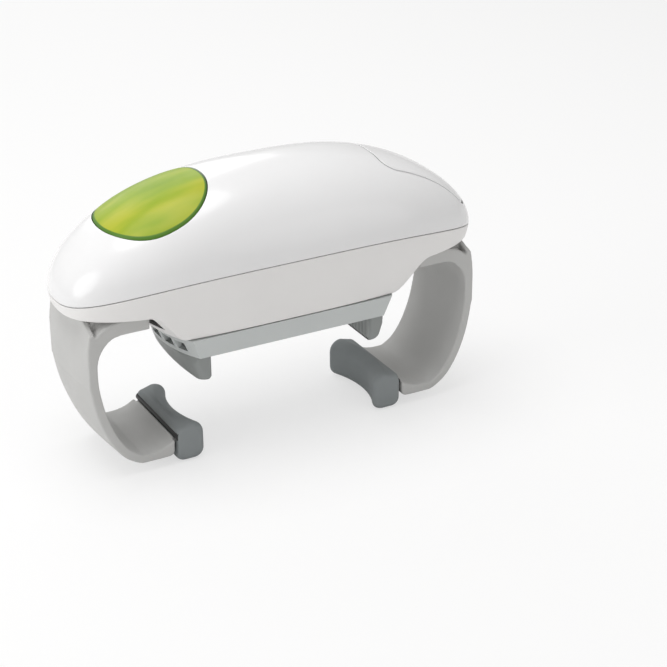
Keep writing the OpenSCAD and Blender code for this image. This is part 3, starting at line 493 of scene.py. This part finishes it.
button = loft("button_cap", cap, (BUTTON_AT, 0, top_height(BUTTON_AT, 0) + CAP_PROUD),
              (BUTTON_AT, 0, top_height(BUTTON_AT, 0) - CAP_T))
carve(button, [peg(STEM_AT, 0, STEM, STEM_FOOT, top_height(STEM_AT, 0) - CAP_T / 2),
               peg(SEAT_AT, 0, SEAT, SEAT_FOOT, top_height(SEAT_AT, 0) - CAP_T * 2 / 3)], "UNION")
smooth(button, 40)

LIME, LIME_PALE, LIME_DEEP = (0.27, 0.375, 0.012), (0.41, 0.44, 0.03), (0.20, 0.32, 0.012)
# painted shade: the deep green that darkens the thin rim round the cap
RIM_SHADE_GREEN = (0.085, 0.20, 0.025)
lime, shader, make = plastic("lime_acrylic", LIME, 0.34, coat=0.06, coat_roughness=0.3,
                             specular=0.25)
streaks, cloud = make.noise(60, 2, (0.35, 1.6, 1)), make.noise(26, 1)
mix = make.calc("MULTIPLY_ADD", streaks, 0.5, make.calc("MULTIPLY", cloud, 0.5))
cap_colour = make.ramp(mix, [(0.36, LIME_DEEP), (0.5, LIME), (0.62, LIME_PALE)])
# painted shade: the rim darkens to deep green where the oval's own measure nears one
measure = []
for axis, middle, half_size in (("X", BUTTON_AT, BUTTON_A), ("Y", 0, BUTTON_B)):
    value = make.along(axis)
    for operation, number in (("SUBTRACT", middle * MM), ("DIVIDE", half_size * MM),
                              ("ABSOLUTE", 0), ("POWER", BUTTON_SQUARENESS)):
        value = make.calc(operation, value, number)
    measure.append(value)
rim = make.ramp(make.calc("ADD", *measure), [(0.90, 0.0), (0.93, 1.0)])
paint = make.nodes.new("ShaderNodeMix")
paint.data_type = "RGBA"
make.links.new(rim, paint.inputs["Factor"])
make.links.new(cap_colour, paint.inputs["A"])
paint.inputs["B"].default_value = (*RIM_SHADE_GREEN, 1)
make.join(paint.outputs["Result"], "Base Color")
make.join(make.ramp(make.noise(180, 3), [(0.3, 0.3), (0.7, 0.4)]), "Roughness")
make.join(make.bump(make.noise(500, 1), 0.002), "Normal")
dress(button, lime)
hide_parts("button")
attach(button, "button")


# ---- Battery cover --------------------------------------------------------------------------
# The cover over the two cells at the heel of the body, moulded in the same glossy white ABS and
# flush with the crown. It drops into its opening onto four rests of the tray.
outside = [cover_ring(-OPENING_GAP, 0, k / 30) for k in range(1, 30)]
outside += [cover_ring(-OPENING_GAP - g, d) for g, d in flare]
inside = [cover_ring(-OPENING_GAP, 0, 1, None, WALL)]
inside += [cover_ring(-OPENING_GAP, 0, k / 12, None, WALL) for k in range(11, 0, -1)]
cover = loft("battery_lid", outside + inside, (COVER_AT, 0, top_height(COVER_AT, 0)),
             (COVER_AT, 0, top_height(COVER_AT, 0, WALL)))
smooth(cover)
dress(cover, gloss_white)
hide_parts("battery_cover")
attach(cover, "battery_cover")


# ---- Drive and electrics --------------------------------------------------------------------
# Inside the body: a grey chassis, a brushed motor and its train of ivory nylon gears on steel
# axles, the switch board under the button, and two cells between nickel contacts in their tray.
# They are the frame's own pieces, which get only their finishes and rounded edges here.
def rounded(node, radius):
    """Rounds the edges of one of the frame's own pieces and shades it smooth."""
    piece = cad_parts[node]
    weld = piece.modifiers.new("weld", "WELD")
    weld.merge_threshold = 0.002 * MM
    edge = piece.modifiers.new("edge", "BEVEL")
    edge.width = radius * MM
    edge.segments = 3
    edge.limit_method = "ANGLE"
    edge.angle_limit = math.radians(30)
    edge.harden_normals = False
    level = piece.modifiers.new("normals", "WEIGHTED_NORMAL")
    level.keep_sharp = False
    piece.data.shade_smooth()
    return piece


def metal(name, colour, roughness, brushed, stretch=(1, 1, 1), scale=900):
    """Metal with fine lines in its colour, gloss and relief, drawn out along its stretch."""
    material, shader, make = plastic(name, colour, roughness)
    shader.inputs["Metallic"].default_value = 1
    lines = make.noise(scale, 3, stretch)
    make.join(make.ramp(lines, [(0.3, shade(colour, 0.9)), (0.7, shade(colour, 1.08))]),
              "Base Color")
    make.join(make.ramp(lines, [(0.25, roughness * 0.75), (0.75, min(roughness * 1.3, 1))]),
              "Roughness")
    make.join(make.bump(lines, brushed), "Normal")
    return material


steel = metal("zinc_plated_steel", (0.62, 0.63, 0.65), 0.28, 0.003, (1, 1, 6))
can = metal("motor_can_steel", (0.50, 0.51, 0.52), 0.34, 0.004, (1, 1, 12), 500)
brass = metal("brass", (0.72, 0.52, 0.20), 0.26, 0.002)
nickel = metal("nickel_strip", (0.66, 0.64, 0.58), 0.22, 0.003, (8, 1, 1))
nylon = moulding("ivory_nylon", (0.78, 0.74, 0.62), 0.38, 900, 0.004, drift=0.04)
chassis_grey = moulding("grey_filled_nylon", (0.16, 0.165, 0.17), 0.5, 1400, 0.01, drift=0.08)
tray_grey = moulding("tray_abs", (0.55, 0.56, 0.55), 0.45, 1500, 0.006, drift=0.03)
switch_black = moulding("switch_black_nylon", (0.03, 0.03, 0.032), 0.4, 900, 0.004, drift=0.15)

BOARD_GREEN, TRACK_GREEN = (0.02, 0.13, 0.05), (0.035, 0.20, 0.07)
board, shader, make = plastic("solder_masked_board", BOARD_GREEN, 0.3, coat=0.3)
tracks = make.nodes.new("ShaderNodeTexVoronoi")
tracks.distance = "MANHATTAN"
tracks.inputs["Scale"].default_value = 420
make.links.new(make.place, tracks.inputs["Vector"])
make.join(make.ramp(tracks.outputs["Distance"], [(0.36, BOARD_GREEN), (0.4, TRACK_GREEN)]),
          "Base Color")
make.join(make.bump(tracks.outputs["Distance"], 0.03), "Normal")
make.join(make.ramp(make.noise(300), [(0.3, 0.25), (0.7, 0.4)]), "Roughness")

CELLS_FROM, CELLS_TO = 29, 81
SLEEVE, COPPER, CELL_CAP = (0.09, 0.12, 0.16), (0.62, 0.40, 0.13), (0.6, 0.6, 0.6)
wrap, shader, make = plastic("cell_sleeve", SLEEVE, 0.3, coat=0.4)
band = make.nodes.new("ShaderNodeMapRange")
band.inputs["From Min"].default_value = CELLS_FROM * MM
band.inputs["From Max"].default_value = CELLS_TO * MM
make.links.new(make.along("X"), band.inputs["Value"])
make.join(make.ramp(band.outputs["Result"], [(0.70, SLEEVE), (0.71, COPPER), (0.96, COPPER),
                                             (0.97, CELL_CAP)]), "Base Color")
make.join(make.ramp(make.noise(200), [(0.3, 0.24), (0.7, 0.36)]), "Roughness")

finishes = {
    "chassis": chassis_grey, "gear_bridge": chassis_grey, "battery_tray": tray_grey,
    "circuit_board": board, "switch": switch_black, "switch_plunger": switch_black,
    "motor": can, "motor_shaft": steel, "motor_pinion": brass, "first_gear": nylon,
    "second_gear": nylon, "output_gear": nylon, "arm_pinion": nylon, "jaw_pinion": nylon,
    "gear_axles": steel, "spindle": steel, "spindle_clip": steel,
    "board_screws": steel, "chassis_screws": steel, "shell_screws": steel, "plate_screws": steel,
    "pinion_screw": steel, "battery_cells": wrap, "battery_contacts": nickel,
}
for node, finish in finishes.items():
    dress(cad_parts[node], finish)
for node, radius in (("chassis", 0.3), ("gear_bridge", 0.3), ("battery_tray", 0.4),
                     ("switch", 0.25), ("battery_cells", 0.5), ("motor", 0.5)):
    rounded(node, radius)


# ---- Arms -----------------------------------------------------------------------------------
# Two C-shaped grip arms moulded in matt light grey glass-filled nylon. Each is a wide strap with
# a crowned outer face that leaves the body level, turns down and curls back in to its pad. A skin
# runs on up to the body, and a rack inside the body meshes with the pinion that moves both.
REACH, STRAP, ARM_HALF = 88.2, 3.8, 21.4
RACK_LEVEL, FOOT_LEVEL, SHOULDER_TOP = 63.1, 6.2, 69.4
ARM_CROWN = 1.9                 # how far the outer face stands out along its middle
CROWN_IN, CROWN_OUT = (4.5, 20.5), (48, 66)     # heights over which the crown comes and goes
ROOT_EXTRA, ROOT_IN = 2.2, (56, 64)             # the strap thickens where it leaves the body
SKIN_T, SKIN_LEAN, LEAN_FROM, SLANT_FROM, SLANT = 2.2, 1.8, 57, 65.5, 2.3
VOXEL = 0.42


def strap_height(share):
    """Height at a share of the way from the foot to the level part of the strap."""
    return FOOT_LEVEL + share * (RACK_LEVEL + STRAP / 2 - FOOT_LEVEL)


def curve_through(points, steps=8):
    """Smooth line through points in (x, z)."""
    line = []
    for i in range(len(points) - 1):
        a, b, c, d = (Vector(points[min(max(i + k, 0), len(points) - 1)]) for k in (-1, 0, 1, 2))
        for k in range(steps):
            u = k / steps
            line.append(0.5 * (2 * b + (c - a) * u + (2 * a - 5 * b + 4 * c - d) * u * u
                               + (3 * b - a - 3 * c + d) * u ** 3))
    return line + [Vector(points[-1])]


def beside(line, off):
    """The line moved sideways, to its left as it runs."""
    moved = []
    for i, p in enumerate(line):
        d = (line[min(i + 1, len(line) - 1)] - line[max(i - 1, 0)]).normalized()
        moved.append(p + off * Vector((-d.y, d.x)))
    return moved


def stack(name, rings):
    """A closed form through rings of equal count, with a flat face at each end."""
    n, m = len(rings[0]), len(rings)
    faces = [(k * n + i, k * n + (i + 1) % n, (k + 1) * n + (i + 1) % n, (k + 1) * n + i)
             for k in range(m - 1) for i in range(n)]
    faces += [tuple(range(n)), tuple(reversed(range((m - 1) * n, m * n)))]
    return solid(name, [p for ring in rings for p in ring], faces)


def across(name, outline, stations):
    """A solid from a closed outline in (x, z), drawn anew at each station in Y."""
    return stack(name, [[(p[0], y, p[1]) for p in outline(y)] for y in stations])


def evenly(low, high, parts):
    """Evenly spread values, with both ends."""
    return [low + (high - low) * k / parts for k in range(parts + 1)]


def fuse(name, parts, voxel, rounds):
    """Melts overlapping solids into one, and softens its edges and inner corners."""
    piece = joined(name, parts)
    melt = piece.modifiers.new("melt", "REMESH")
    melt.mode = "VOXEL"
    melt.voxel_size = voxel * MM
    soften = piece.modifiers.new("soften", "SMOOTH")
    soften.factor = 0.5
    soften.iterations = rounds
    keep(piece)
    return piece


def share_of(node, name, planes):
    """A copy of one of the frame's pieces beyond each plane, closed where it is cut."""
    work = bmesh.new()
    work.from_mesh(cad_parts[node].data)
    bmesh.ops.remove_doubles(work, verts=work.verts, dist=0.001 * MM)
    for place, normal in planes:
        cut = bmesh.ops.bisect_plane(work, geom=work.verts[:] + work.edges[:] + work.faces[:],
                                     plane_co=[c * MM for c in place], plane_no=normal,
                                     clear_inner=True)
        rim = [e for e in cut["geom_cut"] if isinstance(e, bmesh.types.BMEdge)]
        bmesh.ops.holes_fill(work, edges=rim)
    mesh = bpy.data.meshes.new(name)
    work.to_mesh(mesh)
    work.free()
    return add(name, mesh)


def half_turned(piece, name):
    """The piece's twin on the other side of the opener."""
    mesh = piece.data.copy()
    mesh.transform(Matrix.Rotation(math.pi, 4, "Z"))
    return add(name, mesh)


def arc(middle, radius, start, end, step):
    """Points in (x, z) on an arc, from one angle up to another in degrees."""
    return [middle + radius * Vector((math.cos(math.radians(d)), math.sin(math.radians(d))))
            for d in range(start, end, step)]


bend = curve_through([
    (-61.5, strap_height(1)), (-REACH + 14.6, strap_height(1)), (-REACH + 9, strap_height(0.975)),
    (-REACH + 4.6, strap_height(0.90)), (-REACH + 2.3, strap_height(0.80)),
    (-REACH + 2, strap_height(0.66)), (-REACH + 3, strap_height(0.52)),
    (-REACH + 5.2, strap_height(0.36)), (-REACH + 9, strap_height(0.2)),
    (-REACH + 14, strap_height(0.075)), (-REACH + 19.5, strap_height(0.01)), (-66, FOOT_LEVEL)])
outer_line = beside(bend, -STRAP / 2)
inner_line = beside(bend, STRAP / 2)
# the foot's end curls up round the pin, and its underside lies level
outer_line += curve_through([(-63, 4.25), (-58, 4.25), (-55, 4.6), (-53.9, 5.4), (-53.5, 6.8)], 4)
inner_line += curve_through([(-63, 8.15), (-59.5, 8.7), (-56.6, 9.7), (-54.4, 11.0), (-53.6, 11.3),
                             (-53.3, 10.6)], 4)


def crown_at(y, z):
    """How far the outer face stands out at a place."""
    return ARM_CROWN * (1 - (y / ARM_HALF) ** 2) * eased(z, *CROWN_IN) * (1 - eased(z, *CROWN_OUT))


def strap_outline(y):
    """Outline of the strap at one place across its width."""
    outer = []
    for i, p in enumerate(outer_line):
        d = (outer_line[min(i + 1, len(outer_line) - 1)] - outer_line[max(i - 1, 0)]).normalized()
        out = crown_at(y, p.y) + ROOT_EXTRA * eased(p.y, *ROOT_IN)
        outer.append(p + Vector((d.y, -d.x)) * out)
    return outer + list(reversed(inner_line))


strap = across("arm_strap", strap_outline, evenly(-ARM_HALF, ARM_HALF, 24))

# the skin leans in to the body, and its corners slant away under the body's narrow end
levels = [42, 46, 50, 54, 58, 61, 63.5, 65.5, 66.5, 67.5, 68.5, SHOULDER_TOP]
rings = []
for z in levels:
    x = -REACH + SKIN_LEAN * max((z - LEAN_FROM) / (SHOULDER_TOP - LEAN_FROM), 0) ** 1.3
    half_width = ARM_HALF - SLANT * max(z - SLANT_FROM, 0)
    front = [(x - crown_at(y, z), y, z) for y in evenly(-half_width, half_width, 16)]
    rings.append(front + [(x + SKIN_T, p[1], z) for p in reversed(front)])
skin = stack("arm_skin", rings)

WEB_HALF = 15.2
web_outline = [Vector(p) for p in (
    (-REACH + 1.2, 52), (-REACH + 1.6, 60), (-REACH + 2.8, 66.4), (-REACH + 5.8, SHOULDER_TOP),
    (-REACH + 15, SHOULDER_TOP), (-REACH + 15, strap_height(1)), (-REACH + 8, strap_height(0.96)),
    (-REACH + 4.2, strap_height(0.86)))]
web = across("arm_web", lambda y: web_outline, evenly(-WEB_HALF, WEB_HALF, 2))

# the strap ends in a hook under the pin, open at the back
PIN_AT, PIN_ROOM, KNUCKLE, KNUCKLE_HALF = Vector((-51.1, 12)), 1.75, 2.9, 18.5
hook = [Vector(p) for p in ((-60, 5.2), (-54, 5.2), (-53.2, 7.6))]
hook += arc(PIN_AT, KNUCKLE, 250, 371, 12) + arc(PIN_AT, PIN_ROOM, 370, 189, -12)
hook += [Vector(p) for p in ((-53.6, 11.5), (-54.6, 10.9), (-56.6, 9.6), (-60, 8.4))]
knuckle = across("arm_knuckle", lambda y: hook, evenly(-KNUCKLE_HALF, KNUCKLE_HALF, 2))

strap_piece = fuse("left_arm_strap", [strap, skin, web, knuckle], VOXEL, 7)
RACK_FROM, RACK_ABOVE = -61.9, 50
rack = share_of("left_arm", "arm_rack", [((RACK_FROM, 0, 0), (1, 0, 0)),
                                         ((0, 0, RACK_ABOVE), (0, 0, 1))])
arms = [joined("left_arm_form", [strap_piece, rack])]
arms.append(half_turned(arms[0], "right_arm_form"))
arm_grey = moulding("matt_grey_nylon", (0.50, 0.50, 0.49), 0.56, 1700, 0.012, drift=0.02)
for side, arm in zip(("left", "right"), arms):
    smooth(arm, 40)
    dress(arm, arm_grey)
    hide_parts(side + "_arm")
    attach(arm, "arm_" + side)


# ---- Pads -----------------------------------------------------------------------------------
# Two dark grey rubber pads at the ends of the arms. Each has a round hollow between two soft
# lobes, and swivels a little on a near-black pin that shows along the slot behind it; its black
# is partly the pin's own colour and partly painted shade in that slot.
PAD_HALF, PAD_TOP, PAD_LOW, PAD_BACK, PAD_FRONT = 21.4, 17, 0.2, -52.5, -39.9
PAD_END, PAD_DRAW = 3, 2.2      # length of its rounded ends, and how far they draw in
HOLLOW_CURVE = 44.2             # radius of the hollow, about the turning axis
GROOVE, SLOT_END, PAD_VOXEL = 3.4, 0.9, 0.36


def pad_outline(y):
    """Rounded outline of the pad at one place along it; its ends draw in."""
    end = max(abs(y) - (PAD_HALF - PAD_END), 0) / PAD_END
    draw = PAD_DRAW * (1 - math.sqrt(max(1 - end * end, 0)))
    front = min(PAD_FRONT, -math.sqrt(max(HOLLOW_CURVE ** 2 - y * y, 0))) - draw
    back, top, low = PAD_BACK + 0.4 * draw, PAD_TOP - draw, PAD_LOW + draw
    corners = [(front, top, 5.4, -1, -1), (back, top - 1.2, 2.6, 1, -1), (back, low, 3.6, 1, 1),
               (front, low, 4.2, -1, 1)]
    ring = []
    for number, (x, z, radius, to_x, to_z) in enumerate(corners):
        radius = max(radius - 0.3 * draw, 0.6)
        for turn in quarter(8):
            a = turn + math.pi / 2 * number
            ring.append((x + radius * (to_x + math.cos(a)), z + radius * (to_z + math.sin(a))))
    return ring


end_places = [PAD_END * (1 - math.cos(a)) - PAD_HALF for a in quarter(8)[:-1]]
pad = across("pad_body", pad_outline, end_places
             + evenly(-PAD_HALF + PAD_END, PAD_HALF - PAD_END, 30)
             + [-y for y in reversed(end_places)])
# its back is open for the hook, and a slot lets the whole length of the pin in
groove = arc(PIN_AT, GROOVE, -90, 91, 15)
groove += [Vector(p) for p in ((-51.4, 15.2), (-52.0, 13.4), (-60, 13.4), (-60, 3.6), (-51.1, 6.8))]
carve(pad, [across("groove", lambda y: groove, [-KNUCKLE_HALF - 0.3, KNUCKLE_HALF + 0.3])])
slot = [Vector(p) for p in ((-49.4, 10.2), (-49.2, 12), (-49.4, 13.5), (-60, 13.5), (-60, 10.2))]
carve(pad, [across("slot_cut", lambda y: slot, [SLOT_END - PAD_HALF, PAD_HALF - SLOT_END])])
pad = fuse("left_pad_form", [pad], PAD_VOXEL, 6)
pads = [pad, half_turned(pad, "right_pad_form")]
rubber = moulding("grey_rubber", (0.26, 0.28, 0.285), 0.72, 2200, 0.012, drift=0.05, specular=0.35)
# near black: partly the pin's own colour, partly painted shade along the slot behind the pad
pin_black_and_slot_shade = moulding("black_pin_and_slot_shade", (0.02, 0.02, 0.02), 0.35, 700, 0.003, drift=0.2)
for side, form in zip(("left", "right"), pads):
    smooth(form, 50)
    dress(form, rubber)
    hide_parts(side + "_pad")
    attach(form, "pad_" + side)
    dress(rounded(side + "_pad_pin", 0.3), pin_black_and_slot_shade)


# ---- Carriage and jaws ----------------------------------------------------------------------
# The turning carriage under the deck, moulded in light cool grey ABS, with a screwed-on plate
# below it, and two darker jaws on racks, whose ribbed faces close towards the turning axis.
carriage_grey = moulding("cool_grey_abs", (0.55, 0.575, 0.57), 0.4, 1500, 0.006, drift=0.015)
plate_grey = moulding("plate_grey_abs", (0.42, 0.44, 0.44), 0.45, 1500, 0.008, drift=0.02)
dress(rounded("carriage", 0.45), carriage_grey)
dress(rounded("carriage_plate", 0.3), plate_grey)

JAW_FACE, FIN_LOW, FIN_TOP, FIN_HALF = -36.4, 35.3, 46.8, 23
SERRATIONS, SERRATION_PITCH, SERRATION_DEPTH, SERRATED_TO = 15, 2.8, 0.7, 44.6
FIN_CORNER, FIN_CHAMFER, FIN_REACH = 3.2, 0.8, 48.5
# the fin thickens over these heights towards its root, and spreads out above them
FIN_T, FIN_SWELL, FIN_SPREAD, SWELL_FROM, SWELL_TO = 7.3, 2.6, 1.8, 36.7, 44.3
FIN_BOW = 284                   # twice the radius of its bowed outer face
FIN_ROUND = 2.2                 # radius of its low edge


def fin_ring(z, draw, serrated):
    """Outline of the jaw's fin in plan; draw takes it in towards its low edge."""
    half, face = FIN_HALF - draw, JAW_FACE - 0.5 * draw
    swell = min(max((z - SWELL_FROM) / (SWELL_TO - SWELL_FROM), 0), 1)
    spread = max(z - SWELL_TO, 0) / (FIN_TOP - SWELL_TO)
    back = JAW_FACE + draw - FIN_T - FIN_SWELL * swell - FIN_SPREAD * spread
    ring = []
    for i in range(SERRATIONS):
        middle = (i - (SERRATIONS - 1) / 2) * SERRATION_PITCH
        ring += [(face, middle - SERRATION_DEPTH, z),
                 (face - serrated * SERRATION_DEPTH, middle, z),
                 (face, middle + SERRATION_DEPTH, z)]
    ring += [(face, half - FIN_CHAMFER, z), (face - FIN_CHAMFER, half, z)]
    ends = [(FIN_CORNER * (1 - math.sin(a)), half - FIN_CORNER * (1 - math.cos(a)))
            for a in quarter(8)]
    side = ends + [(0, y) for y in evenly(half - FIN_CORNER, FIN_CORNER - half, 18)[1:-1]]
    side += [(x, -y) for x, y in reversed(ends)]
    for x, y in side:
        within = -math.sqrt((FIN_REACH - 0.5 * draw) ** 2 - y * y)
        ring.append((max(back + y * y / FIN_BOW + x, within), y, z))
    ring += [(face - FIN_CHAMFER, -half, z), (face, FIN_CHAMFER - half, z)]
    return ring


rings = [fin_ring(FIN_LOW + FIN_ROUND * (1 - math.cos(a)), FIN_ROUND * (1 - math.sin(a)), 1)
         for a in quarter(7)]
rings += [fin_ring(z, 0, 1) for z in (38.5, 40, 42, 44.3, SERRATED_TO)]
rings += [fin_ring(z, 0, 0) for z in (SERRATED_TO + 0.05, 45.4, 46, 46.5)]
rings += [fin_ring(FIN_TOP, 0.3, 0)]
fin = stack("jaw_fin", rings)
NECK_FROM, NECK_TO, NECK_HALF = -42.6, -37.8, 4.8
carve(fin, [slab(NECK_FROM, NECK_TO, -NECK_HALF, NECK_HALF, FIN_TOP - 1, FIN_TOP + 0.6)], "UNION")
jaw_rack = share_of("left_jaw", "jaw_rack", [((0, 0, FIN_TOP + 0.3), (0, 0, 1))])
jaws = [joined("left_jaw_form", [fin, jaw_rack])]
jaws.append(half_turned(jaws[0], "right_jaw_form"))
jaw_grey = moulding("jaw_grey_nylon", (0.265, 0.28, 0.275), 0.5, 1500, 0.01, drift=0.03)
for side, jaw in zip(("left", "right"), jaws):
    smooth(jaw, 35)
    dress(jaw, jaw_grey)
    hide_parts(side + "_jaw")
    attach(jaw, "jaw_" + side)


# ---- Button spring --------------------------------------------------------------------------
# The coil spring in zinc-plated steel that lifts the button stands on the switch board. It is a
# copy of the frame's own, with a mesh of its own.
spring = share_of("button_spring", "button_spring_wire", [])
foot, top = (pick(v.co.z for v in spring.data.vertices) for pick in (min, max))
smooth(spring, 60)
dress(spring, steel)
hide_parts("button_spring")
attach(spring, "housing")
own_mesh(spring)


# ---- Studio ---------------------------------------------------------------------------------
# A plain pale table and four large soft lamps round the opener, with the camera where the
# photograph was taken from.
TABLE = 4000                    # half the table's width
GLOW_SHARE = 0.62               # how much the table fades to white, to the camera alone
LAMP = 0.8                      # across each lamp, in metres
floor = solid("floor", [(x * TABLE, y * TABLE, 0) for x, y in ((-1, -1), (1, -1), (1, 1), (-1, 1))],
              [(0, 1, 2, 3)])
table = bpy.data.materials.new("pale_table")
table.use_nodes = True
nodes, links = table.node_tree.nodes, table.node_tree.links
shader = nodes["Principled BSDF"]
shader.inputs["Base Color"].default_value = (0.86, 0.86, 0.86, 1)
shader.inputs["Roughness"].default_value = 0.9
shader.inputs["Specular IOR Level"].default_value = 0.1
glow = nodes.new("ShaderNodeEmission")
glow.inputs["Strength"].default_value = 1
seen = nodes.new("ShaderNodeLightPath")
share_seen = nodes.new("ShaderNodeMath")
share_seen.operation = "MULTIPLY"
share_seen.inputs[1].default_value = GLOW_SHARE
links.new(seen.outputs["Is Camera Ray"], share_seen.inputs[0])
blend = nodes.new("ShaderNodeMixShader")
links.new(share_seen.outputs[0], blend.inputs["Fac"])
links.new(shader.outputs[0], blend.inputs[1])
links.new(glow.outputs[0], blend.inputs[2])
links.new(blend.outputs[0], nodes["Material Output"].inputs["Surface"])
floor.data.materials.append(table)

world = bpy.data.worlds.new("studio")
bpy.context.scene.world = world
world.use_nodes = True
nodes, links = world.node_tree.nodes, world.node_tree.links
sky = nodes["Background"]
sky.inputs["Color"].default_value = (1.0, 0.99, 0.98, 1)
sky.inputs["Strength"].default_value = 0.5
paper = nodes.new("ShaderNodeBackground")
paper.inputs["Color"].default_value = (1, 1, 1, 1)
paper.inputs["Strength"].default_value = 1
path = nodes.new("ShaderNodeLightPath")
choose = nodes.new("ShaderNodeMixShader")
links.new(path.outputs["Is Camera Ray"], choose.inputs["Fac"])
links.new(sky.outputs[0], choose.inputs[1])
links.new(paper.outputs[0], choose.inputs[2])
links.new(choose.outputs[0], nodes["World Output"].inputs["Surface"])


def lamp(name, place, aim, watts):
    """A round soft lamp that faces its aim."""
    light = bpy.data.lights.new(name, "AREA")
    light.shape = "DISK"
    light.size = LAMP
    light.energy = watts
    holder = add(name, light)
    holder.location = place
    holder.rotation_euler = (Vector(aim) - Vector(place)).to_track_quat("-Z", "Y").to_euler()


lamp("top_light", (-0.15, 0.05, 0.95), (0, 0, 0.08), 5.0)
lamp("key_light", (-1.1, -0.02, 0.42), (0, 0, 0.07), 3.9)
lamp("fill_light", (0.6, -0.95, 0.35), (0, 0, 0.07), 0.9)
lamp("back_light", (0.1, 0.95, 0.6), (0, 0, 0.08), 1.8)

# fitted to points of the opener in the photograph
CAMERA_AT = (-0.31232, -0.64225, 0.37882)
CAMERA_TURN = (1.12510768, 0.00720749, -0.49499536)
view = bpy.data.cameras.new("camera")
view.sensor_width = 36
view.lens = 101.2
camera = add("camera", view)
camera.location = CAMERA_AT
camera.rotation_euler = CAMERA_TURN
bpy.context.scene.camera = camera
bpy.context.scene.view_settings.view_transform = "Standard"
